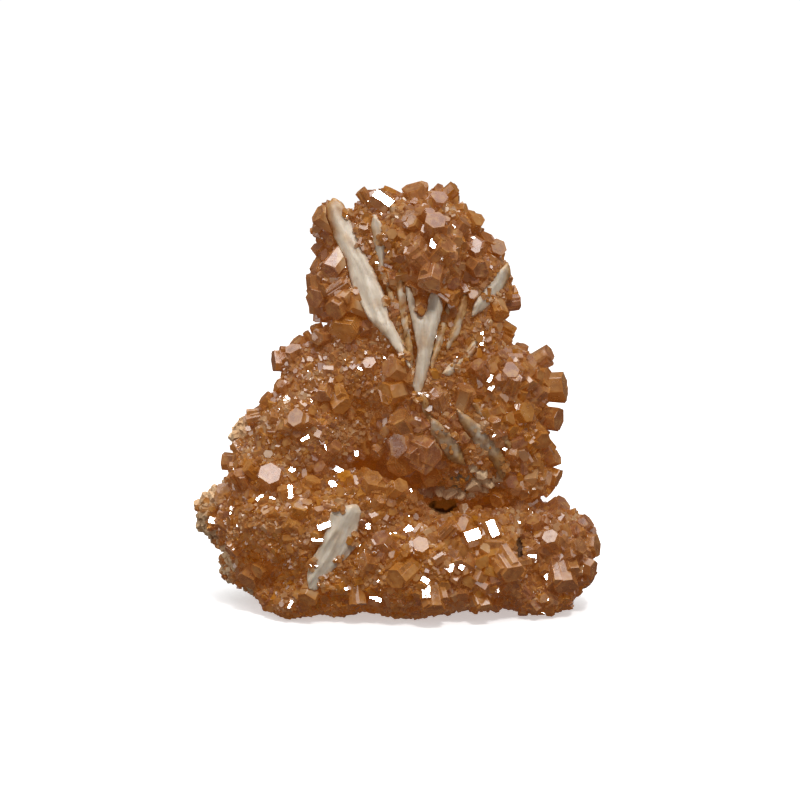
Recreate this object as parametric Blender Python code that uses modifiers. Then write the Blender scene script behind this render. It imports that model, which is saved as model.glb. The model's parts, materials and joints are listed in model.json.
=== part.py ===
"""Vanadinite on barite, a cabinet specimen.

A broad foot of intergrown crystals narrows to a neck and opens again to a head, where barite blades fan out.
Metres, +Z up. The front of the specimen faces -Y. The origin is on the flat spot that it rests on.
"""

import math
import random

import bmesh
import bpy
import numpy as np
from mathutils import Matrix, Vector, noise
from mathutils.bvhtree import BVHTree

MM = 0.001
SPECIMEN = "vanadinite_on_barite"

# Where the front is seen from: places on it are given as pixels of an 800 pixel square picture.
PIXEL = 0.163 * MM
PICTURE_MIDDLE = 400.0
EYE_TILT = math.radians(10.0)
EYE_DISTANCE = 0.42
LOOKED_AT = Vector((0.0, 0.0, 33.3)) * MM
SIGHT = Vector((0.0, math.cos(EYE_TILT), -math.sin(EYE_TILT)))
PICTURE_UP = Vector((0.0, math.sin(EYE_TILT), math.cos(EYE_TILT)))
PICTURE_RIGHT = Vector((1.0, 0.0, 0.0))
EYE = LOOKED_AT - SIGHT * EYE_DISTANCE

# The lumps that the encrusted ground is blended from: centre, then radii, in millimetres.
GROUND_LUMPS = {
    "head_core": ((3.0, -0.5, 58.5), (9.5, 10.0, 8.7)),
    "head_left": ((-8.0, 0.0, 52.5), (6.0, 7.5, 6.5)),
    "head_left_upper": ((-5.0, 0.5, 58.0), (6.0, 7.0, 6.0)),
    "head_right": ((11.3, 1.0, 52.3), (6.6, 8.5, 7.2)),
    "head_top_left": ((-3.5, 0.0, 63.5), (3.0, 5.0, 3.6)),
    "head_front": ((5.5, -7.5, 57.5), (4.2, 4.5, 6.0)),
    "head_left_tip": ((-11.3, 1.0, 62.3), (2.2, 4.0, 3.0)),
    "neck": ((1.5, 1.0, 46.5), (12.5, 9.5, 8.5)),
    "neck_right": ((12.3, 0.5, 46.0), (4.2, 7.0, 5.0)),
    "shoulders": ((0.0, 1.0, 38.0), (14.0, 11.5, 9.0)),
    "arm_upper": ((14.0, -1.5, 37.6), (8.2, 9.5, 5.4)),
    "arm_tip": ((18.0, -1.5, 35.6), (5.7, 7.5, 4.8)),
    "arm_lower": ((17.3, -1.0, 28.0), (6.2, 8.5, 7.0)),
    "arm_foot": ((19.0, 0.0, 21.8), (5.4, 8.0, 4.6)),
    "arm_inner": ((10.5, 0.0, 24.0), (8.0, 9.0, 7.0)),
    "torso": ((4.0, -2.5, 31.0), (10.0, 11.0, 9.0)),
    "slope_top": ((-11.0, -1.5, 37.0), (8.0, 8.5, 6.5)),
    "slope_middle": ((-14.5, -2.5, 29.0), (9.2, 10.5, 8.0)),
    "slope_low": ((-19.3, -2.5, 21.5), (8.0, 10.0, 7.5)),
    "slope_foot": ((-15.0, -5.5, 15.0), (12.0, 13.0, 8.5)),
    "wing": ((-22.5, -3.0, 13.5), (7.3, 8.5, 5.8)),
    "wing_under": ((-18.5, -3.0, 7.5), (8.0, 9.5, 6.0)),
    "base_left": ((-10.0, -7.5, 7.5), (11.0, 10.3, 8.0)),
    "base_middle": ((1.5, -8.5, 8.3), (13.0, 11.3, 8.6)),
    "base_right": ((12.0, -8.0, 8.5), (10.0, 10.5, 7.8)),
    "corner_left": ((-17.3, -9.5, 3.2), (5.0, 6.5, 3.6)),
    "corner_right": ((22.3, -8.5, 3.8), (6.5, 6.5, 4.0)),
    "ball": ((25.2, -5.5, 9.0), (5.9, 7.5, 7.0)),
    "ball_neck": ((19.0, -1.0, 10.5), (7.5, 9.0, 7.2)),
    "ball_under": ((19.5, -3.0, 4.2), (6.5, 8.0, 4.4)),
    "back_low": ((0.0, 4.0, 13.0), (20.0, 9.5, 12.0)),
    "back_high": ((0.0, 3.5, 29.0), (14.0, 8.8, 12.0)),
}
# The rock that the specimen was broken from, at the back and at the left edge.
ROCK_LUMPS = {
    "foot": ((-1.0, 12.0, 8.5), (18.5, 8.0, 10.0)),
    "under": ((0.5, 1.0, 6.5), (13.0, 11.0, 8.0)),
    "middle": ((-3.0, 11.0, 21.0), (13.0, 6.5, 10.0)),
    "wing": ((-24.0, 2.0, 14.0), (9.7, 5.5, 6.0)),
    "wing_under": ((-22.5, -0.5, 7.5), (7.0, 6.0, 6.3)),
    "slope": ((-19.0, 3.5, 26.0), (8.8, 5.5, 5.6)),
    "between": ((-13.5, 5.5, 20.5), (6.5, 6.0, 7.0)),
    "between_low": ((-15.5, 5.5, 11.0), (8.0, 6.5, 7.5)),
    "right": ((13.0, 9.5, 11.0), (9.0, 6.0, 8.0)),
}
# Where the rock broke: planes that it ends at, as a point and the way out, in millimetres.
ROCK_BREAKS = (
    ((0.0, 16.0, 10.0), (0.05, 0.97, 0.22)),
    ((-3.0, 13.5, 24.0), (-0.15, 0.75, 0.65)),
    ((-13.0, 14.5, 10.0), (-0.35, 0.93, 0.10)),
    ((13.5, 13.0, 9.0), (0.62, 0.70, 0.35)),
    ((4.5, 12.0, 22.0), (0.75, 0.45, 0.48)),
)
VOXEL = 1.0 * MM
BLEND_SHARE = 0.5
BLEND_ROUNDS = 6
LUMP_DETAIL = 3
GROUND_ROUGHNESS = 0.9 * MM
ROCK_ROUGHNESS = 0.5 * MM
ROUGH_SCALE = 4.5 * MM
ROUGH_LAYERS = (0.8, 2.1, 3)
GROUND_TRIANGLES = 950
ROCK_TRIANGLES = 450
FIT_GAP = 0.35 * MM
ROCK_GAP = 0.5 * MM

# Prisms that stand out at the front: pixel place, width and length in pixels, then the way that the
# prism points, as right, up and towards the eye.
FRONT_PRISMS = (
    (379, 199, 22, 20, (-0.55, 0.60, 0.55)),
    (365, 198, 12, 14, (-0.55, 0.70, 0.20)),
    (325, 218, 19, 15, (-0.75, 0.45, 0.45)),
    (334, 239, 11, 7, (-0.70, -0.20, 0.60)),
    (336, 266, 20, 18, (-0.25, -0.35, 0.90)),
    (317, 291, 19, 28, (-0.10, 1.00, 0.15)),
    (320, 296, 19, 18, (-0.35, -0.20, 0.90)),
    (339, 305, 21, 20, (-0.20, -0.25, 0.95)),
    (355, 306, 15, 16, (0.00, -0.10, 1.00)),
    (342, 286, 9, 16, (0.80, 0.50, 0.45)),
    (346, 326, 26, 20, (-0.15, -0.40, 0.90)),
    (363, 327, 12, 12, (0.30, 0.20, 0.90)),
    (302, 348, 16, 18, (-0.55, 0.75, 0.30)),
    (318, 333, 13, 14, (-0.30, 0.90, 0.30)),
    (284, 362, 21, 18, (-1.00, 0.02, 0.25)),
    (283, 388, 12, 12, (-0.90, 0.20, 0.40)),
    (270, 403, 14, 14, (-0.70, 0.70, 0.30)),
    (434, 228, 23, 22, (0.05, 0.25, 0.95)),
    (419, 253, 22, 20, (-0.25, 0.30, 0.92)),
    (442, 252, 21, 20, (0.20, 0.20, 0.95)),
    (432, 276, 23, 22, (-0.05, -0.20, 0.98)),
    (437, 204, 18, 18, (0.20, 0.60, 0.75)),
    (416, 197, 23, 18, (-0.30, 0.85, 0.40)),
    (449, 192, 13, 12, (0.70, 0.60, 0.30)),
    (414, 224, 16, 16, (-0.30, 0.20, 0.90)),
    (459, 230, 14, 18, (0.55, 0.75, 0.45)),
    (475, 250, 18, 18, (0.10, 0.10, 1.00)),
    (484, 244, 18, 16, (0.50, 0.60, 0.60)),
    (494, 250, 19, 16, (0.60, 0.20, 0.80)),
    (476, 266, 17, 18, (0.35, -0.30, 0.90)),
    (413, 287, 15, 14, (-0.20, -0.30, 0.90)),
    (421, 305, 12, 12, (0.10, -0.40, 0.90)),
    (396, 369, 20, 22, (-0.25, 0.10, 0.95)),
    (393, 392, 20, 20, (-0.40, -0.10, 0.90)),
    (402, 425, 21, 20, (-0.25, 0.40, 0.88)),
    (404, 445, 22, 20, (-0.35, 0.00, 0.94)),
    (424, 450, 27, 24, (0.25, -0.10, 0.96)),
    (430, 473, 19, 18, (0.20, -0.60, 0.78)),
    (402, 462, 22, 18, (-0.30, -0.60, 0.75)),
    (462, 476, 14, 14, (0.00, 0.00, 1.00)),
    (521, 352, 13, 12, (0.20, 0.90, 0.30)),
    (542, 357, 17, 16, (0.75, 0.45, 0.40)),
    (550, 386, 26, 26, (1.00, 0.05, 0.28)),
    (547, 419, 24, 22, (0.85, -0.10, 0.50)),
    (536, 435, 21, 24, (0.35, -0.45, 0.80)),
    (520, 414, 19, 18, (0.30, 0.10, 0.95)),
    (548, 459, 18, 16, (0.85, 0.35, 0.40)),
    (551, 475, 16, 14, (0.90, -0.30, 0.30)),
    (508, 378, 20, 18, (0.20, 0.60, 0.75)),
    (463, 395, 16, 16, (0.10, 0.30, 0.95)),
    (556, 509, 21, 18, (0.70, 0.60, 0.40)),
    (581, 525, 17, 16, (0.75, 0.55, 0.35)),
    (588, 545, 20, 16, (0.90, 0.00, 0.45)),
    (565, 576, 23, 22, (0.10, -0.50, 0.85)),
    (574, 548, 16, 16, (0.30, 0.20, 0.93)),
    (552, 541, 15, 16, (-0.20, 0.30, 0.92)),
    (535, 525, 16, 16, (-0.20, 0.50, 0.85)),
    (586, 566, 15, 14, (0.80, -0.30, 0.50)),
    (508, 566, 21, 20, (0.20, -0.30, 0.93)),
    (474, 541, 21, 20, (-0.30, 0.55, 0.78)),
    (492, 529, 15, 16, (0.40, 0.60, 0.70)),
    (466, 527, 14, 14, (-0.50, 0.40, 0.77)),
    (421, 549, 17, 18, (0.00, 0.45, 0.89)),
    (400, 573, 19, 18, (-0.25, -0.20, 0.95)),
    (432, 597, 22, 24, (0.15, -0.85, 0.50)),
    (481, 598, 15, 20, (0.35, -0.80, 0.50)),
    (300, 422, 18, 16, (-0.30, 0.25, 0.92)),
    (287, 427, 14, 14, (-0.50, 0.20, 0.85)),
    (331, 451, 12, 18, (0.55, 0.60, 0.60)),
    (366, 448, 21, 18, (0.35, 0.10, 0.93)),
    (346, 482, 14, 16, (-0.10, 0.60, 0.80)),
    (371, 486, 19, 20, (0.20, 0.60, 0.78)),
    (227, 498, 19, 18, (-0.45, 0.45, 0.77)),
    (243, 479, 14, 16, (-0.30, 0.75, 0.60)),
    (271, 480, 22, 18, (-0.10, 0.45, 0.89)),
    (220, 515, 12, 18, (-0.60, 0.60, 0.50)),
    (265, 568, 17, 18, (-0.30, -0.15, 0.94)),
    (252, 575, 18, 16, (-0.50, -0.60, 0.60)),
    (299, 510, 17, 16, (0.10, 0.50, 0.86)),
    (310, 592, 18, 16, (-0.30, -0.60, 0.75)),
)
FRONT_SHARE_BELOW = 0.30
PRISM_SIDES = 6
FLATS_TO_CORNERS = 2.0 / math.sqrt(3.0)
BURIED = 1.6 * MM
RANDOM_PRISMS = 110
RANDOM_TRIES = 6000
RANDOM_WIDTH = (1.7 * MM, 3.3 * MM)
RANDOM_STOUTNESS = (0.55, 1.0)
RANDOM_LEAN = 0.38
CROWDING = 0.46
ROOM_ABOVE_FLOOR = 1.0 * MM
HOLLOW = (Vector((9.5, -9.0, 20.0)) * MM, 8.0 * MM)
SEED = 7

# Barite blades: outline, how far the blade goes in, and how far it stands out, in millimetres.
# Outlines at the front are in pixels, and those at the back in millimetres to the right and up.
FRONT_BLADES = {
    "barite_blade_long": (
        ((334, 198), (343, 203), (353, 226), (363, 247), (374, 271), (386, 298), (389, 318), (399, 334),
         (412, 371), (389, 340), (368, 318), (352, 286), (345, 258), (336, 240), (327, 218), (327, 205)),
        7.0, 1.2,
    ),
    "barite_blade_slim": (
        ((374, 214), (381, 222), (386, 245), (386, 268), (390, 288), (381, 276), (374, 248), (371, 228)),
        5.0, 0.8,
    ),
    "barite_blade_forked": (
        ((405, 286), (411, 288), (418, 316), (424, 318), (431, 291), (440, 293), (443, 308), (434, 342),
         (426, 380), (417, 402), (413, 385), (418, 350), (411, 318)),
        6.0, 1.2,
    ),
    "barite_blade_right": (
        ((508, 262), (511, 274), (500, 292), (487, 308), (471, 318), (473, 305), (484, 289), (497, 272)),
        5.5, 0.9,
    ),
    "barite_blade_small": (
        ((476, 344), (476, 352), (462, 367), (449, 377), (441, 374), (450, 364), (463, 357)),
        4.0, 0.6,
    ),
    "barite_blade_low": (
        ((431, 417), (441, 424), (454, 436), (463, 452), (466, 466), (452, 462), (441, 449), (430, 434)),
        5.0, 0.8,
    ),
    "barite_blade_low_right": (
        ((456, 408), (468, 416), (486, 430), (500, 448), (510, 466), (502, 480), (490, 459), (474, 443),
         (461, 425)),
        5.0, 0.8,
    ),
    "barite_blade_foot": (
        ((334, 504), (345, 506), (358, 504), (361, 512), (357, 532), (355, 548), (342, 563), (328, 574),
         (317, 590), (309, 589), (307, 576), (311, 560), (320, 546), (327, 527)),
        7.0, 1.4,
    ),
}
BACK_BLADES = {
    "barite_blade_back_tall": (
        ((6.0, 44.0), (9.2, 49.5), (11.5, 57.0), (10.8, 61.5), (7.2, 58.0), (5.0, 50.0)),
        5.0, 1.2,
    ),
    "barite_blade_back_left": (
        ((-4.0, 41.0), (-2.0, 45.5), (-3.0, 52.0), (-5.6, 57.5), (-7.0, 55.0), (-6.8, 48.0)),
        3.0, 1.2,
    ),
    "barite_blade_back_right": (
        ((12.5, 31.0), (17.5, 35.0), (21.5, 38.5), (20.5, 40.5), (15.5, 38.0), (11.0, 34.0)),
        5.0, 1.0,
    ),
}
BACK_START = 80.0 * MM
BLADE_EDGE = 0.45 * MM
STEEPEST_LEAN = 0.9
SLOT_REACH = 9.0 * MM
LONGEST_MITRE = 2.5
SMALL_STEP = 0.02 * MM
TEST_WAY = Vector((0.31, 0.17, 0.93)).normalized()

# Colour, then roughness.
VANADINITE = ((0.31, 0.125, 0.045), 0.28)
BARITE = ((0.46, 0.35, 0.25), 0.38)
ROCK = ((0.36, 0.25, 0.15), 0.85)


def group(name, shown=True):
    """A new collection, left out of renders when it only holds helpers."""
    made = bpy.data.collections.new(name)
    bpy.context.scene.collection.children.link(made)
    made.hide_render = not shown
    return made


def add(mesh, name, where):
    obj = bpy.data.objects.new(name, mesh)
    where.objects.link(obj)
    if where.hide_render:
        obj.hide_render = True
        obj.display_type = "WIRE"
    return obj


def evaluated(obj):
    """The object's mesh with its modifiers applied."""
    bpy.context.view_layer.update()
    graph = bpy.context.evaluated_depsgraph_get()
    return bpy.data.meshes.new_from_object(obj.evaluated_get(graph))


def material(name, colour, roughness):
    made = bpy.data.materials.new(name)
    made.use_nodes = True
    shader = made.node_tree.nodes["Principled BSDF"]
    shader.inputs["Base Color"].default_value = (*colour, 1.0)
    shader.inputs["Roughness"].default_value = roughness
    shader.inputs["Metallic"].default_value = 0.0
    return made


def mesh_of(shape, name):
    mesh = bpy.data.meshes.new(name)
    shape.to_mesh(mesh)
    shape.free()
    return mesh


def shape_of(mesh):
    shape = bmesh.new()
    shape.from_mesh(mesh)
    shape.normal_update()
    return shape


def tree_of(mesh):
    shape = shape_of(mesh)
    tree = BVHTree.FromBMesh(shape)
    shape.free()
    return tree


def blended(lumps, name, roughness, helpers, breaks=()):
    """The lumps as one closed surface, broken off at planes and roughened."""
    shape = bmesh.new()
    for centre, radii in lumps.values():
        place = Matrix.Translation(Vector(centre) * MM) @ Matrix.Diagonal(Vector(radii) * MM).to_4x4()
        bmesh.ops.create_icosphere(shape, subdivisions=LUMP_DETAIL, radius=1.0, matrix=place)
    obj = add(mesh_of(shape, name), name, helpers)
    remesh = obj.modifiers.new("blend", "REMESH")
    remesh.mode = "VOXEL"
    remesh.voxel_size = VOXEL
    smooth = obj.modifiers.new("soften", "SMOOTH")
    smooth.factor = BLEND_SHARE
    smooth.iterations = BLEND_ROUNDS
    mesh = evaluated(obj)
    bpy.data.objects.remove(obj)
    shape = shape_of(mesh)
    for point, way in breaks:
        outward = Vector(way).normalized()
        for vertex in shape.verts:
            vertex.co -= outward * max(0.0, (vertex.co - Vector(point) * MM).dot(outward))
    rises = [noise.fractal(vertex.co / ROUGH_SCALE, *ROUGH_LAYERS) for vertex in shape.verts]
    normals = [vertex.normal.copy() for vertex in shape.verts]
    for vertex, rise, normal in zip(shape.verts, rises, normals):
        vertex.co += normal * rise * roughness
    return mesh_of(shape, name)


def rested(mesh, name):
    """The surface cut flat at the height where it rests."""
    shape = shape_of(mesh)
    cut = bmesh.ops.bisect_plane(
        shape,
        geom=shape.verts[:] + shape.edges[:] + shape.faces[:],
        plane_co=(0.0, 0.0, 0.0),
        plane_no=(0.0, 0.0, -1.0),
        clear_outer=True,
    )
    rim = [part for part in cut["geom_cut"] if isinstance(part, bmesh.types.BMEdge)]
    bmesh.ops.holes_fill(shape, edges=rim)
    return mesh_of(shape, name)


def thinned(mesh, name, triangles, helpers):
    """The surface with fewer triangles, still closed."""
    obj = add(mesh, name, helpers)
    mesh.calc_loop_triangles()
    thin = obj.modifiers.new("thin", "DECIMATE")
    thin.ratio = triangles / len(mesh.loop_triangles)
    made = evaluated(obj)
    bpy.data.objects.remove(obj)
    return made


def swollen(mesh, name, amount):
    """The surface moved outwards by an even amount."""
    shape = shape_of(mesh)
    mitres = [min(vertex.calc_shell_factor(), LONGEST_MITRE) for vertex in shape.verts]
    normals = [vertex.normal.copy() for vertex in shape.verts]
    for vertex, mitre, normal in zip(shape.verts, mitres, normals):
        vertex.co += normal * amount * mitre
    return mesh_of(shape, name)


def sight_line(across, down):
    """Start and direction of the line from the eye through a pixel."""
    right = (across - PICTURE_MIDDLE) * PIXEL
    up = (PICTURE_MIDDLE - down) * PIXEL
    return EYE, (SIGHT * EYE_DISTANCE + PICTURE_RIGHT * right + PICTURE_UP * up).normalized()


def back_line(right, up):
    """Start and direction of a line that comes straight from behind."""
    return Vector((right * MM, BACK_START, up * MM)), Vector((0.0, -1.0, 0.0))


def meet(tree, start, ray):
    """Where a line meets the surface, or how far beside it the line passes."""
    hit = tree.ray_cast(start, ray)[0]
    if hit is not None:
        return hit, 0.0
    middle = start - ray * (start.y / ray.y)
    nearest = tree.find_nearest(middle)[0]
    place = start + ray * (nearest - start).dot(ray)
    return place, (place - nearest).length


def inside(tree, point, margin):
    """Whether a point is in a closed surface, or closer to it than the margin."""
    if tree.find_nearest(point)[3] < margin:
        return True
    crossings = 0
    start = point
    while True:
        hit = tree.ray_cast(start, TEST_WAY)[0]
        if hit is None:
            return crossings % 2 == 1
        crossings += 1
        start = hit + TEST_WAY * SMALL_STEP


def prism(base, axis, width, length, spin):
    """A six-sided prism with flat ends that rises along its axis from base."""
    turn = axis.to_track_quat("Z", "Y").to_matrix().to_4x4() @ Matrix.Rotation(spin, 4, "Z")
    radius = width / 2.0 * FLATS_TO_CORNERS
    shape = bmesh.new()
    bmesh.ops.create_cone(
        shape,
        cap_ends=True,
        segments=PRISM_SIDES,
        radius1=radius,
        radius2=radius,
        depth=length,
        matrix=Matrix.Translation(base + axis * length / 2.0) @ turn,
    )
    return mesh_of(shape, "prism")


def lowest_reach(base, axis, width, length):
    """The lowest height that a prism can reach."""
    side = width / 2.0 * FLATS_TO_CORNERS * math.sqrt(max(0.0, 1.0 - axis.z**2))
    return min(base.z, base.z + axis.z * length) - side


def front_prisms(tree):
    """Base, axis, width, length and spin of each prism that stands out at the front."""
    chance = random.Random(SEED)
    found = []
    for across, down, width, length, (right, up, near) in FRONT_PRISMS:
        place, beside = meet(tree, *sight_line(across, down))
        axis = (PICTURE_RIGHT * right + PICTURE_UP * up - SIGHT * near).normalized()
        centre = place - SIGHT * width * PIXEL * FRONT_SHARE_BELOW
        below = length * PIXEL / 2.0 + BURIED + beside
        whole = below + length * PIXEL / 2.0
        base = centre - axis * below
        base.z += max(0.0, ROOM_ABOVE_FLOOR - lowest_reach(base, axis, width * PIXEL, whole))
        found.append((base, axis, width * PIXEL, whole, chance.uniform(0.0, math.tau)))
    return found


def random_prisms(mesh, taken, kept_clear):
    """Prisms strewn over the surface, apart from each other and from what stays clear."""
    chance = random.Random(SEED + 1)
    mesh.calc_loop_triangles()
    triangles = [[mesh.vertices[i].co for i in part.vertices] for part in mesh.loop_triangles]
    areas = [(b - a).cross(c - a).length for a, b, c in triangles]
    found = []
    for a, b, c in chance.choices(triangles, weights=areas, k=RANDOM_TRIES):
        low, high = sorted((chance.random(), chance.random()))
        point = a * low + b * (high - low) + c * (1.0 - high)
        normal = (b - a).cross(c - a).normalized()
        width = chance.triangular(*RANDOM_WIDTH, RANDOM_WIDTH[0])
        loose = Vector(chance.gauss(0.0, 1.0) for _ in range(3)).normalized()
        axis = normal.lerp(loose, RANDOM_LEAN).normalized()
        length = width * chance.uniform(*RANDOM_STOUTNESS)
        spin = chance.uniform(0.0, math.tau)
        base = point - axis * BURIED
        middle = point + axis * length / 2.0
        if lowest_reach(base, axis, width, length + BURIED) < ROOM_ABOVE_FLOOR:
            continue
        if (point - HOLLOW[0]).length < HOLLOW[1]:
            continue
        if any((point - other).length < (width + wide) * CROWDING for other, wide in taken):
            continue
        if any(inside(tree, middle, width / 2.0) for tree in kept_clear):
            continue
        taken.append((point, width))
        found.append((base, axis, width, length + BURIED, spin))
        if len(found) == RANDOM_PRISMS:
            break
    return found


def widened(outline, amount):
    """A flat outline with its edges moved outwards."""
    points = [Vector(point) for point in outline]
    ways = [(points[i] - points[i - 1]).normalized() for i in range(len(points))]
    turning = sum(points[i - 1].cross(points[i]) for i in range(len(points)))
    outward = 1.0 if turning > 0.0 else -1.0
    moved = []
    for i, point in enumerate(points):
        before = Vector((ways[i].y, -ways[i].x)) * outward
        after_way = ways[(i + 1) % len(points)]
        after = Vector((after_way.y, -after_way.x)) * outward
        middle = (before + after).normalized()
        mitre = min(1.0 / max(middle.dot(after), 1.0 / LONGEST_MITRE), LONGEST_MITRE)
        moved.append(point + middle * amount * mitre)
    return moved


def plane_under(tree, lines):
    """The plane y = a + b x + c z that lies closest to where the lines meet the surface."""
    points = [meet(tree, *line)[0] for line in lines]
    table = np.array([(1.0, point.x, point.z) for point in points])
    depth, by_x, by_z = np.linalg.lstsq(table, np.array([point.y for point in points]), rcond=None)[0]
    middle = sum(points, Vector()) / len(points)
    by_x = max(-STEEPEST_LEAN, min(STEEPEST_LEAN, by_x))
    by_z = max(-STEEPEST_LEAN, min(STEEPEST_LEAN, by_z))
    return middle.y - by_x * middle.x - by_z * middle.z, by_x, by_z


def on_plane(plane, start, ray):
    depth, by_x, by_z = plane
    reach = (depth + by_x * start.x + by_z * start.z - start.y) / (ray.y - by_x * ray.x - by_z * ray.z)
    return start + ray * reach


def slab(points, way, out, into, edge=0.0):
    """A plate with the given outline, from out before it to into behind it, its front edges bevelled."""
    shape = bmesh.new()
    face = shape.faces.new([shape.verts.new(point + way * into) for point in points])
    raised = bmesh.ops.extrude_face_region(shape, geom=[face])
    front = [part for part in raised["geom"] if isinstance(part, bmesh.types.BMFace)]
    corners = [part for part in raised["geom"] if isinstance(part, bmesh.types.BMVert)]
    bmesh.ops.translate(shape, verts=corners, vec=-way * (out + into))
    bmesh.ops.recalc_face_normals(shape, faces=shape.faces[:])
    if edge:
        bmesh.ops.bevel(
            shape,
            geom=list(front[0].edges),
            offset=edge,
            offset_type="OFFSET",
            segments=1,
            profile=0.5,
            affect="EDGES",
            clamp_overlap=True,
        )
    bmesh.ops.triangulate(shape, faces=[face for face in shape.faces if len(face.verts) > 4])
    return mesh_of(shape, "slab")


def blades(tree, outlines, line_of, way, unit):
    """Each blade's mesh and that of the slot it sits in, by name."""
    made = {}
    for name, (outline, into, out) in outlines.items():
        plane = plane_under(tree, [line_of(*point) for point in outline])
        points = [on_plane(plane, *line_of(*point)) for point in outline]
        loose = [on_plane(plane, *line_of(*point)) for point in widened(outline, FIT_GAP / unit)]
        made[name] = (
            slab(points, way, out * MM, into * MM, BLADE_EDGE),
            slab(loose, way, SLOT_REACH, into * MM + FIT_GAP),
        )
    return made


def join_in(obj, operands, operation, tangled=False):
    """Adds, or takes away, a collection of closed meshes."""
    step = obj.modifiers.new(operation.lower(), "BOOLEAN")
    step.operation = operation
    step.operand_type = "COLLECTION"
    step.collection = operands
    step.solver = "EXACT"
    step.use_self = tangled


def largest_body(mesh, name):
    """The largest connected surface of a mesh, without chips and closed-in bubbles."""
    shape = shape_of(mesh)
    bmesh.ops.triangulate(shape, faces=shape.faces[:])
    unseen = set(shape.verts)
    bodies = []
    while unseen:
        body = {unseen.pop()}
        to_follow = list(body)
        while to_follow:
            vertex = to_follow.pop()
            for edge in vertex.link_edges:
                other = edge.other_vert(vertex)
                if other in unseen:
                    unseen.remove(other)
                    body.add(other)
                    to_follow.append(other)
        bodies.append(body)
    bodies.sort(key=len)
    bmesh.ops.delete(shape, geom=[vertex for body in bodies[:-1] for vertex in body], context="VERTS")
    return mesh_of(shape, name)


def build():
    specimen = group(SPECIMEN)
    helpers = group("helpers", shown=False)
    prism_group = group("prism_operands", shown=False)
    slot_group = group("slot_operands", shown=False)

    rock_surface = blended(ROCK_LUMPS, "rock", ROCK_ROUGHNESS, helpers, ROCK_BREAKS)
    rock_mesh = rested(thinned(rock_surface, "rock", ROCK_TRIANGLES, helpers), "rock")
    ground_whole = blended(GROUND_LUMPS, "ground", GROUND_ROUGHNESS, helpers)
    ground_surface = rested(ground_whole, "ground")
    ground_mesh = rested(thinned(ground_whole, "ground", GROUND_TRIANGLES, helpers), "ground")
    tree = tree_of(ground_surface)

    made = blades(tree, FRONT_BLADES, sight_line, SIGHT, PIXEL)
    made.update(blades(tree, BACK_BLADES, back_line, Vector((0.0, -1.0, 0.0)), MM))
    clear = [tree_of(blade) for blade, _ in made.values()] + [tree_of(rock_mesh)]

    places = front_prisms(tree)
    taken = [(base + axis * length / 2.0, width) for base, axis, width, length, _ in places]
    places += random_prisms(ground_surface, taken, clear)
    for number, place in enumerate(places):
        add(prism(*place), f"prism_{number:03d}", prism_group)

    for name, (_, slot) in made.items():
        add(slot, f"{name}_slot", slot_group)
    add(swollen(rock_mesh, "rock_slot", ROCK_GAP), "rock_slot", slot_group)

    crust = add(ground_mesh, "crust", helpers)
    join_in(crust, prism_group, "UNION")
    join_in(crust, slot_group, "DIFFERENCE", tangled=True)
    crust_mesh = largest_body(evaluated(crust), "vanadinite_crust")
    bpy.data.objects.remove(crust)

    amber = material("vanadinite", *VANADINITE)
    pale = material("barite", *BARITE)
    tan = material("rock", *ROCK)
    crust_mesh.materials.append(amber)
    add(crust_mesh, "vanadinite_crust", specimen)
    for name, (blade, _) in made.items():
        blade.materials.clear()
        blade.materials.append(pale)
        add(blade, name, specimen)
    rock_mesh.materials.append(tan)
    add(rock_mesh, "rock_foot", specimen)


for old in list(bpy.data.objects):
    bpy.data.objects.remove(old)
build()
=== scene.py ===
"""How the vanadinite on barite looks: its crystals, blades, rock, light and camera."""

import itertools
import json
import math
import random

import bmesh
import bpy
import numpy as np
from mathutils import Matrix, Vector, noise
from mathutils.bvhtree import BVHTree

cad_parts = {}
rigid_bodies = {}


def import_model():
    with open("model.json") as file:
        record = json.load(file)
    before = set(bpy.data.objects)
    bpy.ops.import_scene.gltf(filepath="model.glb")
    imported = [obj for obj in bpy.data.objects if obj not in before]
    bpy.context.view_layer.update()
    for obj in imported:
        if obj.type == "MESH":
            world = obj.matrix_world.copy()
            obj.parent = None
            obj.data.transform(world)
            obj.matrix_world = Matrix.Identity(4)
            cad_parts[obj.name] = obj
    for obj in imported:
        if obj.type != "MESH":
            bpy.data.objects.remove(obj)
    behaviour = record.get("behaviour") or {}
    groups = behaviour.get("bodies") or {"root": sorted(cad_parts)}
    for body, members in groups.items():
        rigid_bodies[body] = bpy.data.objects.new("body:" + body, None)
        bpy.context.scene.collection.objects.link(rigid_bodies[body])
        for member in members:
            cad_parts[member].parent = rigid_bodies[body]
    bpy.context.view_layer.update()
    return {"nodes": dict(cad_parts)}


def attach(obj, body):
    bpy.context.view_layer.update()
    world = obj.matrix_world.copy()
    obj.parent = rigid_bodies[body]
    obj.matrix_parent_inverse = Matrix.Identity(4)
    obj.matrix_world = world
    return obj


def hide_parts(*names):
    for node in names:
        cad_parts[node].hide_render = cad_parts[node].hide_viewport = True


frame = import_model()

MM = 0.001

# The same picture frame as the model's: places at the front are pixels of an 800 pixel square picture.
PIXEL = 0.163 * MM
PICTURE_MIDDLE = 400.0
PICTURE_SIDE = 800.0
EYE_TILT = math.radians(10.0)
EYE_DISTANCE = 0.42
LOOKED_AT = Vector((0.0, 0.0, 33.3)) * MM
SIGHT = Vector((0.0, math.cos(EYE_TILT), -math.sin(EYE_TILT)))
PICTURE_UP = Vector((0.0, math.sin(EYE_TILT), math.cos(EYE_TILT)))
PICTURE_RIGHT = Vector((1.0, 0.0, 0.0))
EYE = LOOKED_AT - SIGHT * EYE_DISTANCE

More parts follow.
